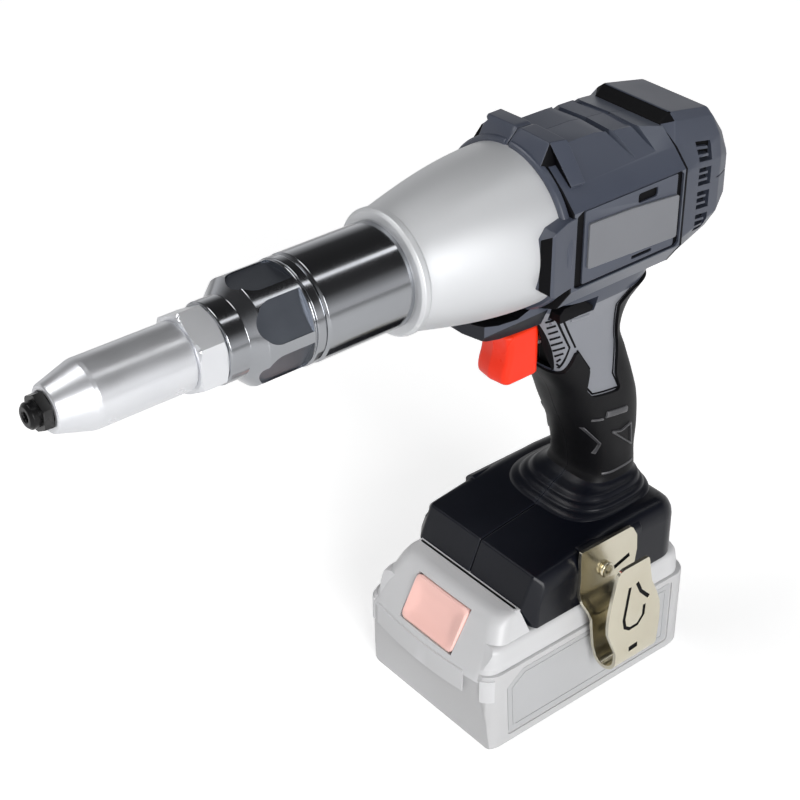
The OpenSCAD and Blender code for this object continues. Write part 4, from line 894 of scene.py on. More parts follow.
@dataclass
class Housing:
    """Two moulded halves of the motor housing, handle and battery foot."""

    section: tuple[Point2, ...] = ((12.8, 30.4), (25.6, 21.76), (32.0, 15.04), (32.0, -16.96),
                                   (25.6, -26.24), (13.44, -31.04))
    front_x: float = -18.0
    seam_x: float = 40.0
    screws: tuple[Point2, ...] = ((-15.8, 251.6), (-28.8, 69.0), (45.9, 69.0), (32.8, 97.4),
                                  (22.0, 133.0), (34.4, 184.1))

    def build(self) -> None:
        """Builds both halves, with the screw wells in the right one, and the thin black sheet of painted
        shade in front of them.
        """
        plain = [self.body(), self.front_ring(), self.lug(), self.chin(), self.foot(), self.pad()]
        screwed = ((self.collar(), self.screws[:1]), (self.base(), self.screws[1:3]),
                   (self.handle(), self.screws[3:]))
        right = [mirrored(p, "right") for p in plain]
        for part, spots in screwed:
            right.append(boolean(mirrored(part, "right"), [self.well(x, z) for x, z in spots]))
        left = plain + [part for part, _ in screwed]
        for name, parts, node in (("housing_shell_left", left, "housing_left"),
                                  ("housing_shell_right", right, "housing_right")):
            obj = place(join(name, parts), HOUSING, "tool", [node],
                        extra=[BASE_NAVY, PAINTED_SHADE, HANDLE_FIELD])
            paint(obj, Field.HANDLE.value, self._on_handle)
            paint(obj, Field.BASE.value, self._on_base)
            # Painted shade: recesses, blunt fronts and hollows that lie in shadow are made black.
            paint(obj, Field.SHADE.value, self._gets_painted_shade)
        # Thin black sheet of painted shade for the shadow line at the housing's front seam.
        half = [(y + 0.12, AXIS_Z + z) for y, z in ((12.8, 32.2), *self.section[1:])]
        place_seam_shade("front_seam_shade", half, 31.6, self.front_x, (-0.9, -0.02))

    @staticmethod
    def _gets_painted_shade(centre: Vector, normal: Vector) -> bool:
        """Tells whether a face of the placed housing gets painted shade: black in the panel's recess, on
        the lug's front, on the collar bar's front and flank, in the chin's scoop and in the trigger's
        room, where shadow falls.
        """
        x, y, z = centre.x / MM, abs(centre.y) / MM, centre.z / MM
        panel = abs(y - 31.0) < 0.02 and abs(normal.y) > 0.9 and 201 < z < 234
        lug = normal.x < -0.7 and y > 30.4 and x < -30.5 and 203 < z < 232
        bar = normal.x < -0.5 and y > 17.2 and -18.6 < x < -12.4 and z > 236
        bar = bar or (abs(normal.y) > 0.6 and 15.5 < y < 19.0 and -22 < x < -13 and z > 240)
        scoop = normal.z > 0.4 and x < -16 and 182 < z < 193 and y < 13.5
        room = y < 9.0 and 151.1 < z < 174.4 and -40 < x < -0.9
        return panel or lug or bar or scoop or room

    @staticmethod
    def _on_handle(centre: Vector, normal: Vector) -> bool:
        """Tells whether a face of the placed housing belongs to the pale field of the handle."""
        beside = abs(normal.y) > 0.3 and abs(centre.y) > 0.0092
        return beside and 0.1 < centre.z < 0.1815 and centre.x > -0.0145

    @staticmethod
    def _on_base(centre: Vector, _: Vector) -> bool:
        """Tells whether a face of the placed housing belongs to the foot or to the chin."""
        chin = centre.x < -0.022 and 0.174 < centre.z < 0.193 and abs(centre.y) < 0.0135
        return centre.z < 0.0958 or chin

    @staticmethod
    def well(x: float, z: float, radius: float = 2.72) -> Object:
        """Builds the cutter for one screw well of the right half."""
        return prism("well", circle(x, z, radius, 32), Axis.Y, 8.3, 60)

    def pad(self) -> Object:
        """Builds the flat pad that carries a hook."""
        profile = [(-36.45, 60), (-36.45, 75.6), (-35.0, 77.4), (-32.4, 78.4), (-29.0, 77.0), (-29.0, 60)]
        return rounded(prism("pad", profile, Axis.X, -6.5, 27.0), 0.6, 3)

    def body(self) -> Object:
        """Builds the motor body with its side recess, grooves and sloping top."""
        half = [(-y, AXIS_Z + z) for y, z in self.section]
        outline = [(-SEAM, AXIS_Z + 32.6), (-12.8, AXIS_Z + 32.6)] + half[1:] + [(-SEAM, half[-1][1])]
        body = prism("body", outline, Axis.X, self.front_x, self.seam_x - 0.8)
        top = [(-40, 251.6), (-3, 250.3), (9, 250.2), (16.5, 249.1), (27, 248.3), (41, 245.3), (41, 262),
               (-40, 262)]
        panel = [(-16.4, 202.4), (-16.4, 231.4), (-13.5, 233), (37, 233), (38.5, 231.5), (38.5, 203),
                 (37, 201.5), (-14, 201.5)]
        cuts = [prism("slope", top, Axis.Y, -40, 5),
                prism("recess", filleted(panel, 1, 2), Axis.Y, -40, -31.0)]
        for far, near, tip in ((15.0, 12.6, 19.6), (27.2, 24.6, 29.6)):
            groove = [(far, 5), (far + 3.2, 5), (near + 3.8, -14), (near, -14)]
            wedge = [(near - 0.1, -12.4, 253), (near + 4.1, -12.4, 253), (near + 0.5, -12.4, 246.6),
                     (near + 3.4, -12.4, 246.4), (tip - 0.3, -24.9, 240.4), (tip + 0.3, -24.9, 240.4)]
            cuts += [prism("groove", groove, Axis.Z, 247.0, 262), hull("wedge", wedge)]
        return rounded(tidy_faces(boolean(body, cuts)), 0.7, 3)

    def front_ring(self) -> Object:
        """Builds the half ring that hugs the gear case."""
        profile = [(-22.4, 31.4), (-22.4, 32.9), (-21.6, 33.7), (-19.4, 33.7), (-18.9, 33.2),
                   (-18.9, 31.4)]
        return rounded(revolved("ring", profile, 192, (92, 268)), 0.25, 2, 40)

    def collar(self) -> Object:
        """Builds the left half of the swept collar: a top wedge and a bar that runs down the side."""
        z = AXIS_Z
        wedge = hull("wedge", [
            (-17.2, -SEAM, z + 37.0), (-17.2, -2.2, z + 37.6), (-16.8, -16.4, z + 37.0),
            (-9.8, -SEAM, z + 36.6), (-9.8, -2.2, z + 37.2), (-9.2, -17.6, z + 36.4),
            (-22.0, -SEAM, z + 32.4), (-21.6, -16.6, z + 28.3), (-9.4, -SEAM, z + 24),
            (-9.0, -18.4, z + 24), (-22.0, -SEAM, z + 24), (-20.6, -18.0, z + 24)])
        bar = hull("bar", [
            (-16.8, -16.2, z + 37.1), (-9.2, -17.4, z + 36.5), (-15.4, -13.0, z + 33.5),
            (-9.2, -13.0, z + 33.0), (-15.0, -26.4, z + 22.9), (-8.2, -26.8, z + 22.6),
            (-13.8, -24.4, z + 20.2), (-7.8, -24.4, z + 20.2)])
        return boolean(rounded(wedge, 0.6, 3), [rounded(bar, 0.4, 3)], "UNION")

    def lug(self) -> Object:
        """Builds the raised side lug in front of the panel, with its blunt front."""
        outline = [(-33.2, 207.0), (-33.2, 227.6), (-29.5, 230.6), (-23.0, 231.8), (-17.0, 231.8),
                   (-17.0, 203.7), (-28.5, 203.7)]
        lug = prism("lug", filleted(outline, 1.2, 3), Axis.Y, -40, -25.6)
        plan = [(-33.2, -25.0), (-33.2, -31.2), (-31.0, -34.8), (-29.4, -35.0), (-22.0, -33.4),
                (-16.0, -32.5), (-16.0, -25.0)]
        boolean(lug, [prism("plan", plan, Axis.Z, 195, 240)], "INTERSECT")
        return rounded(tidy_faces(lug), 0.4, 3)

    def chin(self) -> Object:
        """Builds the left half of the scooped chin in front of the trigger."""
        side = [(-55.0, 190.4), (-49.3, 184.9), (-40.6, 179.8), (-33.7, 177.7), (-27.4, 176.8),
                (-14.5, 175.4), (10, 174.6), (10, 192), (-15, 192), (-19.5, 187.0), (-26.3, 184.8),
                (-36, 185.8), (-46, 188.6), (-53.5, 191.6)]
        wide = prism("chin", filleted(side, 2, 3), Axis.Y, -13.44, -SEAM)
        taper = prism("taper", [(-60, -16), (-40, -16), (-50.5, -7.5), (-60, -5)], Axis.Z, 150, 230)
        edge = [(-20, 183.0), (-13.44, 183.0), (-8.8, 172.0), (-20, 172.0)]
        lean = prism("lean", edge, Axis.X, -70, -9)
        return rounded(tidy_faces(boolean(wide, [taper, lean])), 1.0, 4)

    def handle(self) -> Object:
        """Builds the left half of the handle with the rooms for trigger and selector."""
        core = lofted("handle", [HANDLE.half_ring(z, 0, 40, -SEAM) for z in spaced(70, 196, 84)])
        slot = block("selector_slot", (-9.9, -40, 177.7), (9.1, 3, 184.7))
        rear = block("cover_room", (40, -40, 188.1), (70, 3, 200))
        return boolean(core, [trigger_room(), slot, rear])

    def foot(self) -> Object:
        """Builds the soft steps where the handle meets the battery foot."""
        return lofted("foot", [FOOT.half_ring(z, 0.0, 64, -SEAM) for z in spaced(78.0, 93.0, 75)])

    def base(self) -> Object:
        """Builds the left half of the battery foot, with its sloped front, shoulder and rails."""
        tops = ((-29.9, 74.9), (-8.0, 77.7), (10.0, 79.8), (30.0, 80.4), (51.0, 79.2))
        shoulder = ((0.0, -8.5), (0.4, -5.6), (1.5, -3.1), (3.3, -1.2), (5.4, -0.3), (7.5, 0.0))
        path = [(51.0, -SEAM, -1.0, 0.0)]
        for k in range(9):
            c, n = math.cos(math.pi * k / 16), math.sin(math.pi * k / 16)
            path.append((41.0 + 10.0 * c, -26.5 - 10.0 * n, -c, n))
        path += [(x, -36.5, 0.0, 1.0) for x in (30.0, 10.0, -8.0, -27.5)]
        points = [(-31.5, -36.5, 51.5), (-30.8, -36.5, 61.5), (-35.9, -31.2, 61.0), (-33.4, -31.2, 51.5),
                  (-29.9, -31.4, 74.9), (-29.9, -SEAM, 75.1), (-35.9, -SEAM, 61.0), (-33.4, -SEAM, 51.5),
                  (10.0, -SEAM, 80.3), (30.0, -SEAM, 80.8)]
        for x, y, inward_x, inward_y in path:
            top = smooth_value(tops, x)
            points.append((x, y, 51.5))
            for inset, drop in shoulder:
                points.append((x + inward_x * inset, min(y + inward_y * inset, -SEAM), top + drop))
        foot = rounded(hull("base", points), 0.9, 3, 27)
        bay = block("bay", (-80, -31.1, 55.0), (45, 3, 61.06))
        lip = block("lip", (-80, -27.5, 40), (45, 3, 61.0))
        return boolean(foot, [bay, lip])


class Ribs:
    """Geometry Nodes group that sets a round-topped rib on every corner of a guide mesh."""

    SPREAD = 0.03
    SEED = 11
    _tree: Optional[Tree] = None

    @classmethod
    def tree(cls) -> Tree:
        """Gives the node group, made on first use."""
        if cls._tree:
            return cls._tree
        tree = bpy.data.node_groups.new("rib_row", "GeometryNodeTree")
        for label, kind, value in (("Geometry", "Geometry", None), ("Rib Radius", "Float", 0.5),
                                   ("Rib Length", "Float", 8.0), ("Length Spread", "Float", 0.02),
                                   ("Seed", "Int", 7), ("Material", "Material", None)):
            add_socket(tree, label, kind, value)
        add_socket(tree, "Geometry", "Geometry", way="OUTPUT")
        entry, leave = add_node(tree, "NodeGroupInput"), add_node(tree, "NodeGroupOutput")
        line = add_node(tree, "GeometryNodeCurvePrimitiveLine",
                        {"Start": (-0.5, 0, 0), "Direction": (1, 0, 0), "Length": 1.0}, mode="DIRECTION")
        ring = add_node(tree, "GeometryNodeCurvePrimitiveCircle", {"Resolution": 14, "Radius": 1.0})
        rod = add_node(tree, "GeometryNodeCurveToMesh", {"Fill Caps": True})
        spread = add_node(tree, "FunctionNodeRandomValue", {3: 1.0}, data_type="FLOAT")
        low = add_node(tree, "ShaderNodeMath", {0: 1.0}, operation="SUBTRACT")
        stretch = add_node(tree, "ShaderNodeMath", operation="MULTIPLY")
        part = add_node(tree, "GeometryNodeInputNamedAttribute", {"Name": "share"}, data_type="FLOAT")
        length = add_node(tree, "ShaderNodeMath", operation="MULTIPLY")
        size = add_node(tree, "ShaderNodeCombineXYZ")
        turn = add_node(tree, "GeometryNodeInputNamedAttribute", {"Name": "turn"},
                        data_type="FLOAT_VECTOR")
        rotation = add_node(tree, "FunctionNodeEulerToRotation")
        points = add_node(tree, "GeometryNodeMeshToPoints")
        copies = add_node(tree, "GeometryNodeInstanceOnPoints")
        real = add_node(tree, "GeometryNodeRealizeInstances")
        look = add_node(tree, "GeometryNodeSetMaterial")
        wire(tree, (line, "Curve", rod, "Curve"), (ring, "Curve", rod, "Profile Curve"),
             (entry, "Geometry", points, "Mesh"), (points, "Points", copies, "Points"),
             (rod, "Mesh", copies, "Instance"), (entry, "Length Spread", low, 1),
             (low, "Value", spread, 2), (entry, "Seed", spread, "Seed"), (part, "Attribute", stretch, 0),
             (spread, 1, stretch, 1), (stretch, "Value", length, 0), (entry, "Rib Length", length, 1),
             (length, "Value", size, "X"), (entry, "Rib Radius", size, "Y"),
             (entry, "Rib Radius", size, "Z"), (size, "Vector", copies, "Scale"),
             (turn, "Attribute", rotation, "Euler"), (rotation, "Rotation", copies, "Rotation"),
             (copies, "Instances", real, "Geometry"), (real, "Geometry", look, "Geometry"),
             (entry, "Material", look, "Material"), (look, "Geometry", leave, "Geometry"))
        cls._tree = tree
        return tree

    @classmethod
    def row(cls, name: str, spots: Sequence[tuple[Vector, Vector, float]], radius: float, length: float,
            finish: Finish) -> Object:
        """Builds ribs on spots.

        Args:
            name: Name of the piece.
            spots: Place, direction and share of the full length of each rib.
            radius: Radius of a rib.
            length: Full length of a rib.
            finish: Look of the ribs.

        Returns:
            The ribs as plain mesh in millimetres.
        """
        obj = new_object(name, [s[0] for s in spots], [])
        obj.data.attributes.new("turn", "FLOAT_VECTOR", "POINT")
        obj.data.attributes.new("share", "FLOAT", "POINT")
        turn, share = obj.data.attributes["turn"], obj.data.attributes["share"]
        for k, (_, along, part) in enumerate(spots):
            turn.data[k].vector = Vector((1, 0, 0)).rotation_difference(along).to_euler()
            share.data[k].value = part
        tree = cls.tree()
        mod = obj.modifiers.new("ribs", "NODES")
        mod.node_group = tree
        values = {"Rib Radius": radius, "Rib Length": length, "Length Spread": cls.SPREAD,
                  "Seed": cls.SEED, "Material": finish.material()}
        for item in tree.interface.items_tree:
            if item.in_out == "INPUT" and item.name in values:
                mod[item.identifier] = values[item.name]
        bake(obj)
        obj.data.materials.clear()
        for face in obj.data.polygons:
            face.material_index = 0
        return obj


@dataclass
class RearCover:
    """Faceted cover behind the motor, with its vents."""

    front: tuple[Point2, ...] = ((16.6, 27.6), (23.4, 19.4), (27.0, 10.0), (27.0, -14.0), (24.0, -24.0),
                                 (13.0, -28.6))
    rise: tuple[Point2, ...] = ((17.4, 31.6), (20.6, 29.0), (25.0, 21.2), (29.4, 11.6), (29.4, -16.0),
                                (24.96, -25.0), (13.4, -29.8))
    middle: tuple[Point2, ...] = ((16.8, 27.6), (20.0, 25.2), (24.4, 19.0), (26.2, 10.4), (26.2, -13.0),
                                  (21.5, -21.0), (12.0, -25.6))
    end: tuple[Point2, ...] = ((13.6, 20.8), (20.0, 16.4), (23.4, 9.0), (23.6, -8.0), (18.4, -16.4),
                               (10.0, -20.6))
    seam: tuple[Point2, ...] = ((16.9, 27.5), (25.6, 21.75), (32.0, 15.0), (32.0, -16.9), (25.6, -26.2),
                                (13.4, -31.0))
    vent_x: Point2 = (51.0, 59.2)
    vent_z: tuple[float, ...] = (200.2, 210.0, 219.9, 229.8)

    def build(self) -> None:
        """Builds the cover with its vents and screw wells."""
        z = AXIS_Z
        points = [(38.9, side * y, z + w) for y, w in self.front for side in (-1, 1)]
        points += [(x, side * y, z + w) for y, w in self.rise for side in (-1, 1)
                   for x in ((44.0,) if w > 22 else (40.2, 44.0))]
        points += [(40.2, side * 24.9, z + 20.9) for side in (-1, 1)]
        points += [(65.4, side * y, z + w) for y, w in self.middle for side in (-1, 1)]
        points += [(71.9, side * y, z + w) for y, w in self.end for side in (-1, 1)]
        cover = hull("rear_cover_shell", points)
        cuts = []
        for low in self.vent_z:
            outline = [(x, w - 0.2 * (x - 55.0)) for x, w in self.comb(low)]
            cuts += [prism("vent", outline, Axis.Y, -40, -24.4), prism("vent", outline, Axis.Y, 24.4, 40)]
        for side in (-1, 1):
            for across, w in ((9.9, 24.0), (17.6, -18.6)):
                cuts.append(prism("well", circle(side * across, z + w, 3.3, 24), Axis.X, 49.6, 90))
        cuts.append(block("line", (63.6, -40, 219.6), (80, 40, 220.2)))
        rounded(tidy_faces(cover), 0.7, 3, 10)
        boolean(cover, cuts)
        place(cover, HOUSING, "tool", ["rear_cover"], extra=[PAINTED_SHADE])
        # Painted shade: the vent floors and the front slope are made black where shadow falls.
        paint(cover, 1, self._takes_painted_shade)
        # Thin black sheet of painted shade for the shadow line at the cover's front seam.
        half = [(y + 0.1, z + w) for y, w in self.seam]
        place_seam_shade("rear_seam_shade", half, 24.0, Housing.seam_x, (-0.75, 0.15))

    def comb(self, low: float) -> list[Point2]:
        """Gives the outline of one vent: three legs that run forward from an upright bar."""
        front, rear = self.vent_x
        bar = rear - 2.2
        outline = [(front, low), (rear, low), (rear, low + 7.4)]
        for top in (7.4, 4.6):
            gap = low + top - 1.8
            outline += [(front, low + top), (front, gap), (bar, gap), (bar, low + top - 2.8)]
        return outline + [(front, low + 1.8)]

    def _takes_painted_shade(self, centre: Vector, normal: Vector) -> bool:
        """Tells whether a face of the placed cover is the floor of a vent or the front slope, both of
        which get black painted shade.
        """
        low, high = self.vent_x
        floor = abs(abs(centre.y) - 0.0244) < 0.0001 and abs(normal.y) > 0.9
        floor = floor and low - 1 < centre.x / MM < high + 1
        slope = normal.x < -0.25 and normal.z > 0.3 and centre.z > 0.2425 and abs(centre.y) < 0.019
        return floor or slope


@dataclass
class Grip:
    """Soft rubber skin of the handle, with its raised lines and the ribbed finger rest."""

    thick: float = 1.5
    outline: tuple[Point2, ...] = (
        (-24, 149.4), (-1.9, 149.4), (-0.2, 150.6), (2.6, 159.2), (3.9, 159.6), (10.4, 148.8),
        (9.9, 139.4), (13.2, 135), (28.3, 133), (25.2, 141.7), (26.7, 156.3), (23.8, 174.6),
        (29.5, 180.4), (80, 183), (80, 88.3), (-24, 88.3))
    rib_low: float = 153.6
    rib_step: float = 2.9
    rib_inner: float = 12.0
    rib_radius: float = 0.42
    rib_length: float = 9.0
    rib_overlap: float = 1.3
    bead: tuple[Point2, ...] = ((-0.5, -0.5), (-0.42, 0.55), (-0.2, 1.0), (0.2, 1.0), (0.42, 0.55),
                                (0.5, -0.5))

    def build(self) -> None:
        """Builds both rubber halves, their lines and the pieces around trigger and selector."""
        left = self.half()
        right = mirrored(left, "grip_skin_right")
        boolean(right, [Housing.well(x, z, 3.3) for x, z in Housing.screws[3:5]])
        place(left, RUBBER, "tool", ["grip_left"])
        place(right, RUBBER, "tool", ["grip_right"])
        # The raised lines take the lighter rubber that paints their highlight.
        for build, finish, slot in ((self.lines, RUBBER_LINE_HIGHLIGHT, "grip_rubber"),
                                    # The groove lines, the strip by the trigger's slot and the ribs are
                                    # black painted shade.
                                    (self.edges, PAINTED_SHADE, "black_plastic"),
                                    (self.crescent, PAINTED_SHADE, "black_plastic"),
                                    (self.tab, HANDLE_FIELD, "black_plastic"),
                                    (self.ribs, PAINTED_SHADE, "black_plastic")):
            piece = build()
            twin = mirrored(piece, piece.name.replace("left", "right"))
            for part in (piece, twin):
                place(part, finish, "tool")

    def half(self) -> Object:
        """Builds the left half of the skin, cut to its outline."""
        rings = [HANDLE.half_ring(z, self.thick, 48, -SEAM) for z in spaced(88.3, 184, 88)]
        skin = lofted("grip_skin_left", rings)
        edge = prism("edge", filleted(self.outline, 2.2, 5), Axis.Y, -60, 5)
        boolean(skin, [edge], "INTERSECT")
        inner = lofted("inner", [HANDLE.half_ring(z, -0.4, 40, 3.0) for z in spaced(87, 186, 60)])
        return boolean(skin, [trigger_room(), inner])

    def strip(self, path: Sequence[Point2], width: float, height: float, grow: float = 1.5) -> Object:
        """Builds a raised line that follows the handle.

        Args:
            path: Places seen from the side.
            width: Width of the line.
            height: How far it stands out.
            grow: How far the surface under it lies outside the handle.

        Returns:
            The closed strip.
        """
        spots: list[Vector] = []
        for a, b in zip(path, path[1:]):
            steps = max(2, int((Vector(b) - Vector(a)).length / 1.2))
            spots += [Vector(a).lerp(Vector(b), k / steps) for k in range(steps)]
        spots.append(Vector(path[-1]))
        rings = []
        for k, spot in enumerate(spots):
            ahead = spots[min(k + 1, len(spots) - 1)] - spots[max(k - 1, 0)]
            side = Vector((-ahead.y, ahead.x)).normalized()
            ring = []
            for across, up in self.bead:
                p = spot + side * width * across
                ring.append((p.x, HANDLE.side_y(p.x, p.y, grow) - height * up, p.y))
            rings.append(ring)
        return lofted("strip", rings)

    def lines(self) -> Object:
        """Builds the raised lines of the left side."""
        paths = (([(14.6, 122.6), (19.2, 122.4)], 1.2, 0.7), ([(20.6, 124.0), (32.2, 122.3)], 3.2, 0.9),
                 ([(13.2, 117.8), (20.2, 109.0), (19.3, 103.2)], 1.1, 0.75),
                 ([(25.2, 113.6), (30, 112.2), (35.8, 113.8)], 1.1, 0.75),
                 ([(35.8, 113.8), (37.4, 102.4)], 1.1, 0.75), ([(25.2, 113.6), (37.4, 102.4)], 1.1, 0.75),
                 ([(23.0, 92.2), (40.0, 93.0)], 1.2, 0.4))
        return join("grip_lines_left", [self.strip(*p) for p in paths])

    def edges(self) -> Object:
        """Builds the black lines around the plastic field and the finger rest of the left side: thin
        strips of painted shade for the shadow in their grooves.
        """
        front = [(3.9, 160.2), (11.2, 149.0), (10.8, 139.8), (13.8, 135.9), (28.0, 134.0)]
        rear = [(28.4, 180.8), (22.8, 174.8), (25.7, 156.3), (24.2, 141.9), (28.0, 134.0)]
        rest = [(-8.3, 179.8), (0.2, 162.6), (-1.6, 152.0)]
        rim = [(-4.9, 177.4), (2.9, 161.9)]
        grooves = [self.strip(path, 0.9, 0.22, 0.0) for path in (front, rear, rest, rim)]
        return join("handle_grooves_left", grooves)

    def crescent(self) -> Object:
        """Builds the black strip around the left edge of the trigger's slot: painted shade for the shadow
        gap there.
        """
        rings = []
        for k in range(33):
            z = 150.4 + 25.0 * k / 32
            swell = math.sin(math.pi * k / 32) ** 0.7
            grow = 0.25 + 1.5 * max(0.0, min(1.0, (151.5 - z) / 2.0))
            outer = 9.05 + 2.6 * swell
            ring = [(HANDLE.front_x(y, z, grow), -y, z) for y in (8.95, 9.0 + 1.3 * swell, outer)]
            ring += [(HANDLE.front_x(y, z, -1.2), -y, z) for y in (outer, 8.95)]
            rings.append(ring)
        return lofted("trigger_lip_left", rings)

    @staticmethod
    def rest_x(z: float) -> float:
        """Gives the rear edge of the finger rest at a height."""
        return -0.9 - (z - 162.6) * 0.44 if z > 162.6 else -0.9 - (162.6 - z) * 0.13

    def tab(self) -> Object:
        """Builds the small raised bar under the selector."""
        tab = self.strip([(-1.6, 176.2), (7.0, 176.0)], 1.5, 0.6, 0.0)
        tab.name = "selector_tab_left"
        return tab

    def ribs(self) -> Object:
        """Builds the ribs of the finger rest behind the trigger, black as painted shade so that they draw
        the shadow lines between the pale lands.
        """
        spots = []
        for k in range(9):
            z = self.rib_low + k * self.rib_step
            edge = self.rest_x(z + 0.9) - 0.6
            wide = -HANDLE.side_y(edge, z + 0.9) - self.rib_inner
            course = []
            for t in range(5):
                y, up = self.rib_inner + wide * t / 4, z - 0.4 + 1.3 * t / 4
                course.append(Vector((HANDLE.front_x(y, up, 0.1), -y, up)))
            for low, high in zip(course, course[1:]):
                along = high - low
                share = along.length * self.rib_overlap / self.rib_length
                spots.append(((low + high) / 2, along.normalized(), share))
        return Ribs.row("finger_rest_ribs_left", spots, self.rib_radius, self.rib_length, PAINTED_SHADE)


@dataclass
class SidePanels:
    """Bare panels on both sides of the motor."""

    back: tuple[Point2, ...] = ((-12.2, 202.3), (-12.2, 232.3), (35.6, 232.3), (35.6, 202.3))
    high_slot: tuple[Point2, ...] = ((15, 226.6), (25, 226.6), (25, 230.4), (15, 230.4))
    low_slot: tuple[Point2, ...] = ((13.4, 203.9), (24, 203.9), (24, 205.2), (13.4, 205.2))
    face: tuple[Point2, ...] = ((-10.4, 208.4), (-10.4, 227.0), (12.0, 226.2), (36.2, 223.8),
                                (36.2, 206.0))

    def build(self) -> None:
        """Builds and places the backs and the faces of both panels."""
        back = prism("panel_back", filleted(self.back, 0.8, 2), Axis.Y, -31.75, -30.2)
        slots = (filleted(self.high_slot, 1, 3), filleted(self.low_slot, 0.5, 2))
        # The slots go through the backs, so the black painted shade of the housing's recess floor shows
        # in them.
        boolean(back, [prism("slot", outline, Axis.Y, -36, -30.0) for outline in slots])
        rounded(tidy_faces(back), 0.3, 2)
        face = rounded(prism("panel_face", filleted(self.face, 1.2, 4), Axis.Y, -32.8, -31.0), 0.45, 3)
        backs = join("side_panel_backs", [back, mirrored(back, "right")])
        faces = join("side_panel_faces", [face, mirrored(face, "right")])
        place(backs, HOUSING, "tool")
        place(faces, BADGE, "tool", ["badge_plates"])


@dataclass
class Controls:
    """Trigger and direction selector."""

    low: float = 151.6
    high: float = 173.8
    edge: float = 1.5
    half_w: float = 8.4
    fronts: tuple[Point2, ...] = ((151.6, -27.4), (154.5, -28.3), (158.0, -28.0), (163.0, -26.6),
                                  (168.5, -26.2), (173.8, -27.2))
    arrow: tuple[Point2, ...] = ((-9.4, 178.3), (-9.4, 182.2), (-7.0, 184.3), (2.8, 184.3), (8.5, 180.0),
                                 (7.6, 178.3))

    def build(self) -> None:
        """Builds and places the controls."""
        plunger = prism("plunger", circle(0.0, 163.4, 2.5, 32), Axis.X, -10, 6)
        place(join("trigger_lever", [self.lever(), plunger]), TRIGGER_RED, "trigger_body",
              ["trigger"], 50)
        selector = prism("selector_bar", filleted(self.arrow, 0.8, 3), Axis.Y, -18.7, 18.7)
        rounded(selector, 0.7, 4, 30)
        # The selector takes black painted shade, dark as the shadow in its hole.
        place(selector, PAINTED_SHADE, "selector_body", ["selector"], 50)

    def lever(self) -> Object:
        """Builds the trigger's lever, with a hollow front and rounded ends."""
        rings = []
        for z in spaced(self.low, self.high, 40):
            depth = min(z - self.low, self.high - z, self.edge)
            inset = self.edge - math.sqrt(max(0.0, self.edge ** 2 - (self.edge - depth) ** 2))
            front, half = smooth_value(self.fronts, z) + inset, self.half_w - inset
            side = front + 1.2
            outline = [(-9.0, -half), (-9.0, half), (side, half), (front, 0.0), (side, -half)]
            rings.append(at_height(filleted(outline, 3.0, 6), z))
        return lofted("lever", rings)


